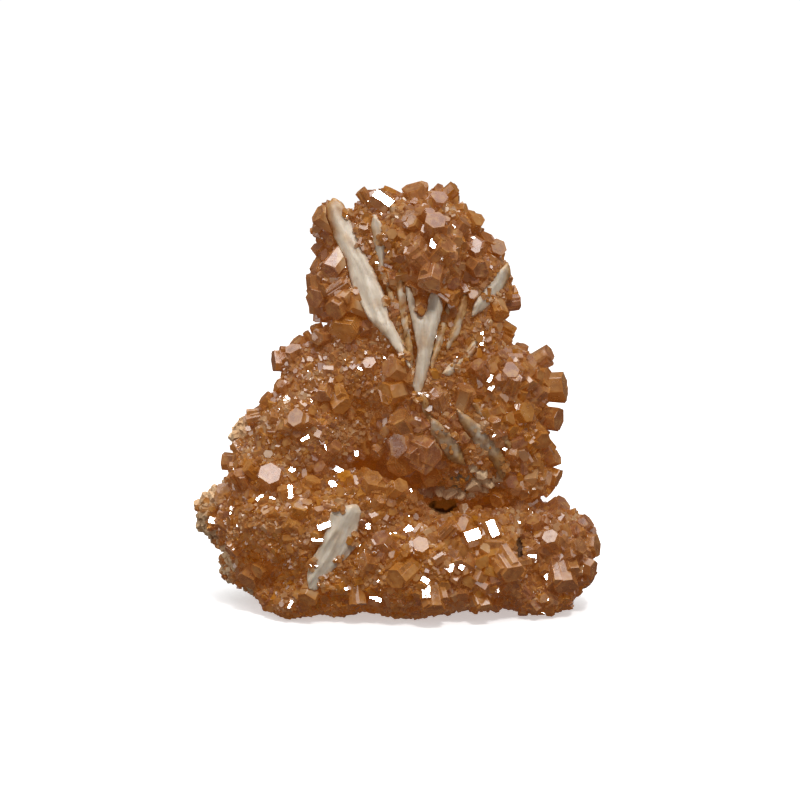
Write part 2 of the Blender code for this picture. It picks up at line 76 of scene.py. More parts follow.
# The lumps that the encrusted ground is blended from: centre, then radii, in millimetres.
GROUND_LUMPS = {
    "head_core": ((3.0, -0.5, 58.5), (9.5, 10.0, 8.7)),
    "head_left": ((-8.0, 0.0, 52.5), (6.0, 7.5, 6.5)),
    "head_left_upper": ((-5.0, 0.5, 58.0), (6.0, 7.0, 6.0)),
    "head_right": ((11.3, 1.0, 52.3), (6.6, 8.5, 7.2)),
    "head_top_left": ((-3.5, 0.0, 63.5), (3.0, 5.0, 3.6)),
    "head_front": ((5.5, -7.5, 57.5), (4.2, 4.5, 6.0)),
    "head_left_tip": ((-11.3, 1.0, 62.3), (2.2, 4.0, 3.0)),
    "neck": ((1.5, 1.0, 46.5), (12.5, 9.5, 8.5)),
    "neck_right": ((12.3, 0.5, 46.0), (4.2, 7.0, 5.0)),
    "shoulders": ((0.0, 1.0, 38.0), (14.0, 11.5, 9.0)),
    "arm_upper": ((14.0, -1.5, 37.6), (8.2, 9.5, 5.4)),
    "arm_tip": ((18.0, -1.5, 35.6), (5.7, 7.5, 4.8)),
    "arm_lower": ((17.3, -1.0, 28.0), (6.2, 8.5, 7.0)),
    "arm_foot": ((19.0, 0.0, 21.8), (5.4, 8.0, 4.6)),
    "arm_inner": ((10.5, 0.0, 24.0), (8.0, 9.0, 7.0)),
    "torso": ((4.0, -2.5, 31.0), (10.0, 11.0, 9.0)),
    "slope_top": ((-11.0, -1.5, 37.0), (8.0, 8.5, 6.5)),
    "slope_middle": ((-14.5, -2.5, 29.0), (9.2, 10.5, 8.0)),
    "slope_low": ((-19.3, -2.5, 21.5), (8.0, 10.0, 7.5)),
    "slope_foot": ((-15.0, -5.5, 15.0), (12.0, 13.0, 8.5)),
    "wing": ((-22.5, -3.0, 13.5), (7.3, 8.5, 5.8)),
    "wing_under": ((-18.5, -3.0, 7.5), (8.0, 9.5, 6.0)),
    "base_left": ((-10.0, -7.5, 7.5), (11.0, 10.3, 8.0)),
    "base_middle": ((1.5, -8.5, 8.3), (13.0, 11.3, 8.6)),
    "base_right": ((12.0, -8.0, 8.5), (10.0, 10.5, 7.8)),
    "corner_left": ((-17.3, -9.5, 3.2), (5.0, 6.5, 3.6)),
    "corner_right": ((22.3, -8.5, 3.8), (6.5, 6.5, 4.0)),
    "ball": ((25.2, -5.5, 9.0), (5.9, 7.5, 7.0)),
    "ball_neck": ((19.0, -1.0, 10.5), (7.5, 9.0, 7.2)),
    "ball_under": ((19.5, -3.0, 4.2), (6.5, 8.0, 4.4)),
    "back_low": ((0.0, 4.0, 13.0), (20.0, 9.5, 12.0)),
    "back_high": ((0.0, 3.5, 29.0), (14.0, 8.8, 12.0)),
}
# Lumps that fill the folds between those, too low to count among them.
FOLD_LUMPS = {
    "fold_base": ((-9.0, -10.5, 17.5), (9.5, 5.0, 5.5)),
    "fold_base_middle": ((-1.0, -10.5, 18.0), (4.5, 4.0, 3.5)),
    "fold_neck_right": ((9.0, -4.5, 44.0), (7.5, 4.5, 6.5)),
    "fold_neck": ((2.0, -7.0, 46.0), (6.0, 3.6, 6.5)),
    "fold_neck_left": ((-7.5, -3.0, 43.0), (5.0, 4.5, 4.0)),
    "fold_arm": ((12.0, -8.5, 30.5), (6.5, 3.0, 6.0)),
    "fold_shoulder": ((5.0, -9.0, 36.0), (6.5, 3.5, 6.0)),
}
# The lumps that the rock is blended from, and its flat breaks: a point on each and the way it faces.
ROCK_LUMPS = {
    "foot": ((-1.0, 12.0, 8.5), (18.5, 8.0, 10.0)),
    "under": ((0.5, 1.0, 6.5), (13.0, 11.0, 8.0)),
    "middle": ((-3.0, 11.0, 21.0), (13.0, 6.5, 10.0)),
    "wing": ((-24.0, 2.0, 14.0), (9.7, 5.5, 6.0)),
    "wing_under": ((-22.5, -0.5, 7.5), (7.0, 6.0, 6.3)),
    "slope": ((-19.0, 3.5, 26.0), (8.8, 5.5, 5.6)),
    "between": ((-13.5, 5.5, 20.5), (6.5, 6.0, 7.0)),
    "between_low": ((-15.5, 5.5, 11.0), (8.0, 6.5, 7.5)),
    "right": ((13.0, 9.5, 11.0), (9.0, 6.0, 8.0)),
}
ROCK_BREAKS = (
    ((0.0, 16.0, 10.0), (0.05, 0.97, 0.22)),
    ((-3.0, 13.5, 24.0), (-0.15, 0.75, 0.65)),
    ((-13.0, 14.5, 10.0), (-0.35, 0.93, 0.10)),
    ((13.5, 13.0, 9.0), (0.62, 0.70, 0.35)),
    ((4.5, 12.0, 22.0), (0.75, 0.45, 0.48)),
)
# How finely the lumps are blended and smoothed, and how rough the blend is then made.
VOXEL = 1.0 * MM
BLEND_FACTOR = 0.5
BLEND_ROUNDS = 6
LUMP_DETAIL = 3
GROUND_ROUGHNESS = 0.9 * MM
ROCK_ROUGHNESS = 0.5 * MM
ROUGH_SCALE = 4.5 * MM
ROUGH_LAYERS = (0.8, 2.1, 3)

# Prisms that stand out at the front: pixel place, width and length in pixels, then the way that the
# prism points, as right, up and towards the eye.
FRONT_PRISMS = (
    (379, 199, 22, 20, (-0.55, 0.60, 0.55)),
    (365, 198, 12, 14, (-0.55, 0.70, 0.20)),
    (325, 218, 19, 15, (-0.75, 0.45, 0.45)),
    (334, 239, 11, 7, (-0.70, -0.20, 0.60)),
    (336, 266, 20, 18, (-0.25, -0.35, 0.90)),
    (317, 291, 19, 28, (-0.10, 1.00, 0.15)),
    (320, 296, 19, 18, (-0.35, -0.20, 0.90)),
    (339, 305, 21, 20, (-0.20, -0.25, 0.95)),
    (355, 306, 15, 16, (0.00, -0.10, 1.00)),
    (342, 286, 9, 16, (0.80, 0.50, 0.45)),
    (346, 326, 26, 20, (-0.15, -0.40, 0.90)),
    (363, 327, 12, 12, (0.30, 0.20, 0.90)),
    (302, 348, 16, 18, (-0.55, 0.75, 0.30)),
    (318, 333, 13, 14, (-0.30, 0.90, 0.30)),
    (284, 362, 21, 18, (-1.00, 0.02, 0.25)),
    (283, 388, 12, 12, (-0.90, 0.20, 0.40)),
    (270, 403, 14, 14, (-0.70, 0.70, 0.30)),
    (434, 228, 23, 22, (0.05, 0.25, 0.95)),
    (419, 253, 22, 20, (-0.25, 0.30, 0.92)),
    (442, 252, 21, 20, (0.20, 0.20, 0.95)),
    (432, 276, 23, 22, (-0.05, -0.20, 0.98)),
    (437, 204, 18, 18, (0.20, 0.60, 0.75)),
    (416, 197, 23, 18, (-0.30, 0.85, 0.40)),
    (449, 192, 13, 12, (0.70, 0.60, 0.30)),
    (414, 224, 16, 16, (-0.30, 0.20, 0.90)),
    (459, 230, 14, 18, (0.55, 0.75, 0.45)),
    (475, 250, 18, 18, (0.10, 0.10, 1.00)),
    (484, 244, 18, 16, (0.50, 0.60, 0.60)),
    (494, 250, 19, 16, (0.60, 0.20, 0.80)),
    (476, 266, 17, 18, (0.35, -0.30, 0.90)),
    (413, 287, 15, 14, (-0.20, -0.30, 0.90)),
    (421, 305, 12, 12, (0.10, -0.40, 0.90)),
    (396, 369, 20, 22, (-0.25, 0.10, 0.95)),
    (393, 392, 20, 20, (-0.40, -0.10, 0.90)),
    (402, 425, 21, 20, (-0.25, 0.40, 0.88)),
    (404, 445, 22, 20, (-0.35, 0.00, 0.94)),
    (424, 450, 27, 24, (0.25, -0.10, 0.96)),
    (430, 473, 19, 18, (0.20, -0.60, 0.78)),
    (402, 462, 22, 18, (-0.30, -0.60, 0.75)),
    (462, 476, 14, 14, (0.00, 0.00, 1.00)),
    (521, 352, 13, 12, (0.20, 0.90, 0.30)),
    (542, 357, 17, 16, (0.75, 0.45, 0.40)),
    (550, 386, 26, 26, (1.00, 0.05, 0.28)),
    (547, 419, 24, 22, (0.85, -0.10, 0.50)),
    (536, 435, 21, 24, (0.35, -0.45, 0.80)),
    (520, 414, 19, 18, (0.30, 0.10, 0.95)),
    (548, 459, 18, 16, (0.85, 0.35, 0.40)),
    (551, 475, 16, 14, (0.90, -0.30, 0.30)),
    (508, 378, 20, 18, (0.20, 0.60, 0.75)),
    (463, 395, 16, 16, (0.10, 0.30, 0.95)),
    (556, 509, 21, 18, (0.70, 0.60, 0.40)),
    (581, 525, 17, 16, (0.75, 0.55, 0.35)),
    (588, 545, 20, 16, (0.90, 0.00, 0.45)),
    (565, 576, 23, 22, (0.10, -0.50, 0.85)),
    (574, 548, 16, 16, (0.30, 0.20, 0.93)),
    (552, 541, 15, 16, (-0.20, 0.30, 0.92)),
    (535, 525, 16, 16, (-0.20, 0.50, 0.85)),
    (586, 566, 15, 14, (0.80, -0.30, 0.50)),
    (508, 566, 21, 20, (0.20, -0.30, 0.93)),
    (474, 541, 21, 20, (-0.30, 0.55, 0.78)),
    (492, 529, 15, 16, (0.40, 0.60, 0.70)),
    (466, 527, 14, 14, (-0.50, 0.40, 0.77)),
    (421, 549, 17, 18, (0.00, 0.45, 0.89)),
    (400, 573, 19, 18, (-0.25, -0.20, 0.95)),
    (432, 597, 22, 24, (0.15, -0.85, 0.50)),
    (481, 598, 15, 20, (0.35, -0.80, 0.50)),
    (300, 422, 18, 16, (-0.30, 0.25, 0.92)),
    (287, 427, 14, 14, (-0.50, 0.20, 0.85)),
    (331, 451, 12, 18, (0.55, 0.60, 0.60)),
    (366, 448, 21, 18, (0.35, 0.10, 0.93)),
    (346, 482, 14, 16, (-0.10, 0.60, 0.80)),
    (371, 486, 19, 20, (0.20, 0.60, 0.78)),
    (227, 498, 19, 18, (-0.45, 0.45, 0.77)),
    (243, 479, 14, 16, (-0.30, 0.75, 0.60)),
    (271, 480, 22, 18, (-0.10, 0.45, 0.89)),
    (220, 515, 12, 18, (-0.60, 0.60, 0.50)),
    (265, 568, 17, 18, (-0.30, -0.15, 0.94)),
    (252, 575, 18, 16, (-0.50, -0.60, 0.60)),
    (299, 510, 17, 16, (0.10, 0.50, 0.86)),
    (310, 592, 18, 16, (-0.30, -0.60, 0.75)),
)
# How deep the prisms sit, and how many more are strewn over the ground, how wide, stout and close.
FRONT_SHARE_BELOW = 0.30
FLATS_TO_CORNERS = 2.0 / math.sqrt(3.0)
BURIED = 1.6 * MM
RANDOM_PRISMS = 110
RANDOM_TRIES = 6000
RANDOM_WIDTH = (1.7 * MM, 3.3 * MM)
RANDOM_STOUTNESS = (0.55, 1.0)
RANDOM_LEAN = 0.38
CROWDING = 0.46
ROOM_ABOVE_FLOOR = 1.0 * MM
# The hollow that no strewn prism grows in: its middle and its reach.
HOLLOW = (Vector((9.5, -9.0, 20.0)) * MM, 8.0 * MM)

# Pits in the ground: pixel middle, reach across and down in pixels, and how deep, in millimetres.
PITS = (
    ((443, 507), (19, 11), 5.0),
    ((520, 549), (6, 22), 2.8),
    ((462, 499), (26, 7), 1.6),
    ((386, 384), (7, 34), 2.6),
    ((281, 513), (20, 9), 1.2),
)
# Bare rock in the hollow: pixel middle, and reach across and down in pixels.
BARE = ((462, 486), (40, 17))
# How much of a pit or of the bare rock is kept free, and the share left free on the bare rock.
WELL_WITHIN = 0.85
LEFT_BARE = 0.75
# The pits whose ground is painted with shade as well as sunk.
SHADE_PAINTED_PITS = PITS[:2] + PITS[3:4]
# Every random order starts from this number, so that it is the same each time.
SEED = 7

# Barite blades: outline, how far the blade goes in, and how far it stands out, in millimetres.
FRONT_BLADES = {
    "barite_blade_long": (
        ((334, 198), (343, 203), (353, 226), (363, 247), (374, 271), (386, 298), (389, 318), (399, 334),
         (412, 371), (389, 340), (368, 318), (352, 286), (345, 258), (336, 240), (327, 218), (327, 205)),
        7.0, 1.2,
    ),
    "barite_blade_slim": (
        ((374, 214), (381, 222), (386, 245), (386, 268), (390, 288), (381, 276), (374, 248), (371, 228)),
        5.0, 0.8,
    ),
    "barite_blade_forked": (
        ((405, 286), (411, 288), (418, 316), (424, 318), (431, 291), (440, 293), (443, 308), (434, 342),
         (426, 380), (417, 402), (413, 385), (418, 350), (411, 318)),
        6.0, 1.2,
    ),
    "barite_blade_right": (
        ((508, 262), (511, 274), (500, 292), (487, 308), (471, 318), (473, 305), (484, 289), (497, 272)),
        5.5, 0.9,
    ),
    "barite_blade_small": (
        ((476, 344), (476, 352), (462, 367), (449, 377), (441, 374), (450, 364), (463, 357)),
        4.0, 0.6,
    ),
    "barite_blade_low": (
        ((431, 417), (441, 424), (454, 436), (463, 452), (466, 466), (452, 462), (441, 449), (430, 434)),
        5.0, 0.8,
    ),
    "barite_blade_low_right": (
        ((456, 408), (468, 416), (486, 430), (500, 448), (510, 466), (502, 480), (490, 459), (474, 443),
         (461, 425)),
        5.0, 0.8,
    ),
    "barite_blade_foot": (
        ((334, 504), (345, 506), (358, 504), (361, 512), (357, 532), (355, 548), (342, 563), (328, 574),
         (317, 590), (309, 589), (307, 576), (311, 560), (320, 546), (327, 527)),
        7.0, 1.4,
    ),
}
BACK_BLADES = {
    "barite_blade_back_tall": (
        ((6.0, 44.0), (9.2, 49.5), (11.5, 57.0), (10.8, 61.5), (7.2, 58.0), (5.0, 50.0)),
        5.0, 1.2,
    ),
    "barite_blade_back_left": (
        ((-4.0, 41.0), (-2.0, 45.5), (-3.0, 52.0), (-5.6, 57.5), (-7.0, 55.0), (-6.8, 48.0)),
        3.0, 1.2,
    ),
    "barite_blade_back_right": (
        ((12.5, 31.0), (17.5, 35.0), (21.5, 38.5), (20.5, 40.5), (15.5, 38.0), (11.0, 34.0)),
        5.0, 1.0,
    ),
}
# Blades: how far back a line to a back blade starts, how steeply a blade may lean, how far the room
# before it reaches, how far it is raised, the gap around it, the rim that crystals may cover, how far
# the ground is sunk below it, how finely it is made even, and how often it is softened.
BACK_START = 80.0 * MM
STEEPEST_LEAN = 0.9
SLOT_REACH = 9.0 * MM
BLADE_RAISE = 0.45 * MM
BLADE_ROOM = 0.08 * MM
BLADE_COVERED = 0.35 * MM
SUNK_BELOW_BLADES = 0.5 * MM
BLADE_VOXEL = 0.31 * MM
BLADE_ROUNDS = 4
# How much druse coats a rib, and the blades that it coats in part.
RIB_COAT = 0.95
BLADE_COATS = {"barite_blade_small": 0.45, "barite_blade_low": 0.65, "barite_blade_low_right": 0.60}
# How a line is sent out to tell whether a point is inside a closed surface.
SMALL_STEP = 0.02 * MM
TEST_WAY = Vector((0.31, 0.17, 0.93)).normalized()

# Where the small crystals are coarse, as a place and a reach in millimetres.
COARSE_PLACES = (
    ((-9.0, 52.0), 9.0),
    ((5.0, 57.0), 10.0),
    ((19.0, 36.0), 9.0),
    ((20.0, 25.0), 8.0),
    ((3.0, 28.0), 9.0),
    ((26.0, 10.0), 7.0),
    ((13.0, 10.0), 8.0),
)
# Where the crystals are painted more mauve than amber, a painted sheen that stands in for pale light
# reflected off their faces, as a place and a reach in millimetres.
MAUVE_SHEEN_PLACES = (
    ((-15.0, 47.0), 10.0), ((-12.0, 57.0), 8.0), ((6.0, 56.0), 9.0), ((26.0, 10.0), 10.0),
    ((3.0, 29.0), 8.0), ((8.0, 3.0), 9.0), ((19.0, 3.0), 8.0), ((-12.0, 27.0), 6.0),
)
MOST_MAUVE_SHEEN = 0.80
# The small crystals: how many are tried, their widths in millimetres, the share of medium ones in fine
# and in coarse places, how close they stand to each other and to large ones, how far they lean, how
# long they are for their width, how near the floor they may be, and the cells of space they are kept in.
SMALL_TRIES = 170000
FINE_WIDTH = (0.42, 0.90)
MEDIUM_WIDTH = (1.00, 2.10)
MEDIUM_SHARE = (0.05, 0.20)
SMALL_CROWDING = 0.33
LARGE_CROWDING = 0.42
SMALL_LEAN = (0.35, 1.0)
SMALL_STOUTNESS = (0.80, 1.50)
SMALL_FLOOR = 0.15 * MM
CELL = 2.0 * MM
# The borders between the patches of small crystals, each of which is one piece.
HEAD_FROM = 43.0 * MM
BASE_BELOW = 17.0 * MM
SLOPE_LEFT_OF = -4.0 * MM
# The large prisms: which of them point too straight at the eye and how far those are tipped, how far
# they stand out, and the smaller ones grown parallel to them.
FACING_LIMIT = 0.72
SLANT = (math.radians(32.0), math.radians(58.0))
STOOD_OUT = 0.25 * MM
COMPANIONS = (2, 3, 4, 5)
PARALLEL_LEAN = 0.07
# A prism's form, as shares of its width: how uneven its sides are, how much is cut off its corners and
# its rim, how much it tapers, how its end slopes, and how wide and deep the end is sunk.
UNEVEN = (-0.42, 0.16)
CORNER_CUT = 0.025
CHAMFER = (0.005, 0.03)
TAPER = (0.0, 0.06)
END_SLOPE = (-0.16, 0.16)
HOPPER_WIDTH = (0.55, 0.75)
HOPPER_DEPTHS = (0.0, 0.0, 0.04)

# Prisms with a side that mirrors the small soft box: pixel place, width and length of that side, and how
# far its length turns from level, in degrees.
GLINTS = (
    (383, 202, 15, 18, -35), (472, 538, 13, 13, 20), (493, 530, 10, 15, -70), (549, 577, 7, 9, 30),
    (338, 471, 6, 12, -30), (352, 455, 5, 11, 10), (276, 484, 6, 8, 0), (373, 472, 6, 11, 0),
    (261, 500, 6, 8, 40), (317, 541, 5, 9, 0), (391, 536, 4, 9, 10), (531, 557, 5, 8, 0),
    (462, 566, 5, 8, 60), (425, 581, 6, 7, -30), (342, 590, 6, 10, 0), (375, 600, 8, 10, -20),
    (481, 340, 4, 12, 88), (490, 379, 5, 8, 70), (492, 388, 5, 8, 60), (513, 377, 6, 8, 0),
    (507, 449, 5, 8, 45), (413, 259, 6, 9, -30), (450, 261, 6, 9, 30), (447, 306, 5, 6, 0),
    (249, 470, 6, 8, 20), (305, 440, 5, 8, 35), (405, 467, 5, 11, 5),
)
# A bright side at least this wide stands for the prisms at the front that are nearer than this, in pixels.
BRIGHT_FROM = 8
BRIGHT_NEAR = 8.0
# Where the small soft box is, and the share of small crystals that mirror it.
SMALL_BOX = Vector((0.12, -0.42, 0.60))
FLASHING = 0.006

# Broken bits of rock in the hollow: pixel place and size in millimetres.
ROCK_BITS = (
    (422, 495, 2.6), (431, 491, 3.2), (441, 489, 3.4), (451, 490, 3.6), (461, 493, 3.0), (470, 494, 2.4),
    (474, 484, 3.8), (481, 473, 3.4), (488, 480, 4.0), (496, 477, 3.0), (474, 468, 2.6), (483, 488, 2.8),
)
ROCK_BIT_CORNERS = 14
ROCK_BIT_BEVEL = 0.12 * MM
# How many places on the rock are tried for grit or a crystal.
GRAIN_TRIES = 9000

# Where small crystals sit on a blade: blade, pixel place and reach in pixels, and how many.
ON_BLADES = (
    ("barite_blade_foot", 328, 582, 9, 26), ("barite_blade_foot", 341, 563, 7, 14),
    ("barite_blade_foot", 354, 540, 6, 14), ("barite_blade_foot", 340, 508, 5, 8),
    ("barite_blade_foot", 312, 565, 4, 8), ("barite_blade_long", 347, 214, 5, 16),
    ("barite_blade_long", 361, 244, 4, 9), ("barite_blade_long", 404, 358, 6, 12),
    ("barite_blade_long", 353, 292, 4, 8), ("barite_blade_long", 386, 300, 3, 7),
    ("barite_blade_forked", 421, 309, 5, 9), ("barite_blade_forked", 417, 398, 5, 8),
    ("barite_blade_low", 447, 440, 13, 12),
    ("barite_blade_low_right", 484, 437, 16, 14), ("barite_blade_low_right", 504, 466, 8, 9),
    ("barite_blade_small", 461, 362, 10, 18), ("barite_blade_right", 488, 297, 6, 10),
    ("barite_blade_slim", 382, 240, 5, 12), ("barite_blade_slim", 386, 275, 6, 16),
)

# Thin ribs coated with druse, which fan out beside the blades: outline, into and out, in millimetres.
RIBS = {
    "rib_inner": (
        ((390, 203), (396, 205), (401, 240), (405, 285), (409, 330), (406, 338), (400, 315), (395, 270),
         (391, 235)), 4.0, 0.9),
    "rib_slim_low": (
        ((386, 285), (392, 290), (399, 312), (407, 345), (411, 372), (405, 366), (397, 340), (389, 312)),
        4.0, 0.9),
    "rib_streak": (
        ((398, 300), (403, 300), (410, 330), (414, 358), (411, 372), (405, 345)), 4.0, 1.2),
    "rib_right_inner": (
        ((462, 292), (468, 290), (466, 312), (458, 336), (447, 352), (445, 346), (453, 325), (459, 305)),
        4.0, 0.9),
    "rib_right_outer": (
        ((489, 318), (494, 322), (484, 340), (470, 356), (462, 360), (466, 350), (478, 334)), 4.0, 0.8),
    "rib_neck_middle": (
        ((446, 300), (451, 302), (448, 325), (440, 350), (432, 372), (430, 362), (437, 335)), 4.0, 1.0),
    "rib_low_middle": (
        ((418, 392), (424, 394), (438, 420), (452, 452), (449, 460), (436, 438), (424, 414)), 4.0, 0.9),
    "rib_low_outer": (
        ((470, 402), (476, 402), (494, 420), (512, 444), (510, 450), (492, 432), (476, 412)), 4.0, 0.7),
}

# Places where the growth is pale or creamy: pixel place and reach in pixels.
PALE_PLACES = (
    (330, 357, 9), (335, 396, 8), (360, 345, 7), (385, 380, 7), (270, 537, 8), (392, 598, 10), (503, 347, 10),
    (483, 222, 13), (208, 520, 17), (222, 556, 17), (245, 430, 15), (462, 606, 16), (277, 460, 16),
    (333, 583, 12), (440, 440, 9), (412, 205, 7), (300, 395, 10),
)

# Soft boxes: place, width and height in metres, and how bright their face is.
LIGHTS = (
    ("softbox_top", (-0.10, -0.15, 0.85), (0.70, 0.50), 2.1),
    ("softbox_left", (-0.70, -0.30, 0.35), (0.45, 0.70), 1.3),
    ("softbox_right", (0.70, -0.30, 0.30), (0.30, 0.55), 0.8),
    ("softbox_small", SMALL_BOX, (0.08, 0.08), 125.0),
    ("light_far_above", (0.0, 0.3, 2.2), (2.0, 2.0), 1.1),
)
# The dome's brightness low and high, its share that a glossy face mirrors, and the white backdrop.
DOME = (0.20, 0.48)
MIRRORED_SHARE = 0.26
BACKDROP = 1.05
# The floor, in metres, and the camera's sensor, in millimetres.
FLOOR_HALF = 0.55
FLOOR_DROP = 0.02 * MM
SENSOR = 36.0


def group(name):
    made = bpy.data.collections.new(name)
    bpy.context.scene.collection.children.link(made)
    return made


def add(mesh, name, where):
    obj = bpy.data.objects.new(name, mesh)
    where.objects.link(obj)
    return obj


def evaluated(obj):
    """The object's mesh with its modifiers applied. The object itself is removed."""
    bpy.context.view_layer.update()
    graph = bpy.context.evaluated_depsgraph_get()
    mesh = bpy.data.meshes.new_from_object(obj.evaluated_get(graph))
    bpy.data.objects.remove(obj)
    return mesh


def mesh_of(shape, name):
    mesh = bpy.data.meshes.new(name)
    shape.to_mesh(mesh)
    shape.free()
    return mesh


def shape_of(mesh):
    shape = bmesh.new()
    shape.from_mesh(mesh)
    shape.normal_update()
    return shape


def tree_of(mesh):
    shape = shape_of(mesh)
    tree = BVHTree.FromBMesh(shape)
    shape.free()
    return tree


def fill(mesh, name, kind, values):
    """Gives an attribute of a mesh its values."""
    mesh.attributes[name].data.foreach_set(kind, values.astype(np.float32).reshape(-1))


def clamped(value):
    return max(0.0, min(1.0, value))


def any_way(chance):
    """A direction at random."""
    return Vector(chance.gauss(0.0, 1.0) for _ in range(3)).normalized()


def evened(mesh, name, where, voxel, rounds):
    """The mesh remade with even faces and softened, as a shape to work on."""
    obj = add(mesh, name, where)
    remesh = obj.modifiers.new("even", "REMESH")
    remesh.mode = "VOXEL"
    remesh.voxel_size = voxel
    smooth = obj.modifiers.new("soften", "SMOOTH")
    smooth.factor = BLEND_FACTOR
    smooth.iterations = rounds
    return shape_of(evaluated(obj))


def blended(lumps, name, roughness, where, breaks=()):
    """The lumps as one closed surface, broken off at planes, roughened, and cut flat where it rests."""
    shape = bmesh.new()
    for centre, radii in lumps.values():
        place = Matrix.Translation(Vector(centre) * MM) @ Matrix.Diagonal(Vector(radii) * MM).to_4x4()
        bmesh.ops.create_icosphere(shape, subdivisions=LUMP_DETAIL, radius=1.0, matrix=place)
    shape = evened(mesh_of(shape, name), name, where, VOXEL, BLEND_ROUNDS)
    for point, way in breaks:
        outward = Vector(way).normalized()
        for vertex in shape.verts:
            vertex.co -= outward * max(0.0, (vertex.co - Vector(point) * MM).dot(outward))
    rises = [noise.fractal(vertex.co / ROUGH_SCALE, *ROUGH_LAYERS) for vertex in shape.verts]
    normals = [vertex.normal.copy() for vertex in shape.verts]
    for vertex, rise, normal in zip(shape.verts, rises, normals):
        vertex.co += normal * rise * roughness
    cut = bmesh.ops.bisect_plane(
        shape,
        geom=shape.verts[:] + shape.edges[:] + shape.faces[:],
        plane_co=(0.0, 0.0, 0.0),
        plane_no=(0.0, 0.0, -1.0),
        clear_outer=True,
    )
    rim = [part for part in cut["geom_cut"] if isinstance(part, bmesh.types.BMEdge)]
    bmesh.ops.holes_fill(shape, edges=rim)
    return mesh_of(shape, name)


def sight_line(across, down):
    """Start and direction of the line from the eye through a pixel."""
    right = (across - PICTURE_MIDDLE) * PIXEL
    up = (PICTURE_MIDDLE - down) * PIXEL
    return EYE, (SIGHT * EYE_DISTANCE + PICTURE_RIGHT * right + PICTURE_UP * up).normalized()


def pixel_of(point):
    """The pixel at which a point is seen."""
    ray = point - EYE
    scale = EYE_DISTANCE / ray.dot(SIGHT) / PIXEL
    return PICTURE_MIDDLE + ray.dot(PICTURE_RIGHT) * scale, PICTURE_MIDDLE - ray.dot(PICTURE_UP) * scale


def within(point, middle, reaches):
    """0 in the middle of an ellipse in the picture, 1 on its edge, for points at the front."""
    if point.y > -1.0 * MM:
        return 9.0
    across, down = pixel_of(point)
    return math.hypot((across - middle[0]) / reaches[0], (down - middle[1]) / reaches[1])


def back_line(right, up):
    """Start and direction of a line that comes straight from behind."""
    return Vector((right * MM, BACK_START, up * MM)), Vector((0.0, -1.0, 0.0))


def meet(tree, start, ray):
    """Where a line meets the surface, or how far beside it the line passes."""
    hit = tree.ray_cast(start, ray)[0]
    if hit is not None:
        return hit, 0.0
    middle = start - ray * (start.y / ray.y)
    nearest = tree.find_nearest(middle)[0]
    place = start + ray * (nearest - start).dot(ray)
    return place, (place - nearest).length


def inside(tree, point, margin):
    """Whether a point is in a closed surface, or closer to it than the margin."""
    if tree.find_nearest(point)[3] < margin:
        return True
    crossings = 0
    start = point
    while True:
        hit = tree.ray_cast(start, TEST_WAY)[0]
        if hit is None:
            return crossings % 2 == 1
        crossings += 1
        start = hit + TEST_WAY * SMALL_STEP


def lowest_reach(base, axis, width, length):
    """The lowest height that a prism can reach."""
    side = width / 2.0 * FLATS_TO_CORNERS * math.sqrt(max(0.0, 1.0 - axis.z**2))
    return min(base.z, base.z + axis.z * length) - side


def front_prisms(tree):
    """Base, axis, width, length and spin of each prism that stands out at the front."""
    chance = random.Random(SEED)
    found = []
    for across, down, width, length, (right, up, near) in FRONT_PRISMS:
        place, beside = meet(tree, *sight_line(across, down))
        axis = (PICTURE_RIGHT * right + PICTURE_UP * up - SIGHT * near).normalized()
        centre = place - SIGHT * width * PIXEL * FRONT_SHARE_BELOW
        below = length * PIXEL / 2.0 + BURIED + beside
        whole = below + length * PIXEL / 2.0
        base = centre - axis * below
        base.z += max(0.0, ROOM_ABOVE_FLOOR - lowest_reach(base, axis, width * PIXEL, whole))
        found.append((base, axis, width * PIXEL, whole, chance.uniform(0.0, math.tau)))
    return found


def strewn(mesh, chance, tries):
    """Points at random over a mesh, each with the way that its face looks."""
    mesh.calc_loop_triangles()
    triangles = [[mesh.vertices[i].co for i in part.vertices] for part in mesh.loop_triangles]
    areas = [(b - a).cross(c - a).length for a, b, c in triangles]
    for a, b, c in chance.choices(triangles, weights=areas, k=tries):
        low, high = sorted((chance.random(), chance.random()))
        yield a * low + b * (high - low) + c * (1.0 - high), (b - a).cross(c - a).normalized()


def random_prisms(mesh, taken, kept_clear):
    """Prisms strewn over the surface, apart from each other and from what stays clear."""
    chance = random.Random(SEED + 1)
    found = []
    for point, normal in strewn(mesh, chance, RANDOM_TRIES):
        width = chance.triangular(*RANDOM_WIDTH, RANDOM_WIDTH[0])
        axis = normal.lerp(any_way(chance), RANDOM_LEAN).normalized()
        length = width * chance.uniform(*RANDOM_STOUTNESS)
        spin = chance.uniform(0.0, math.tau)
        base = point - axis * BURIED
        middle = point + axis * length / 2.0
        if lowest_reach(base, axis, width, length + BURIED) < ROOM_ABOVE_FLOOR:
            continue
        if (point - HOLLOW[0]).length < HOLLOW[1]:
            continue
        if any((point - other).length < (width + wide) * CROWDING for other, wide in taken):
            continue
        if any(inside(tree, middle, width / 2.0) for tree in kept_clear):
            continue
        taken.append((point, width))
        found.append((base, axis, width, length + BURIED, spin))
        if len(found) == RANDOM_PRISMS:
            break
    return found


def widened(outline, amount):
    """A flat outline with its edges moved outwards."""
    points = [Vector(point) for point in outline]
    ways = [(points[i] - points[i - 1]).normalized() for i in range(len(points))]
    turning = sum(points[i - 1].cross(points[i]) for i in range(len(points)))
    outward = 1.0 if turning > 0.0 else -1.0
    moved = []
    for i, point in enumerate(points):
        before = Vector((ways[i].y, -ways[i].x)) * outward
        after_way = ways[(i + 1) % len(points)]
        after = Vector((after_way.y, -after_way.x)) * outward
        middle = (before + after).normalized()
        mitre = min(1.0 / max(middle.dot(after), 0.4), 2.5)
        moved.append(point + middle * amount * mitre)
    return moved


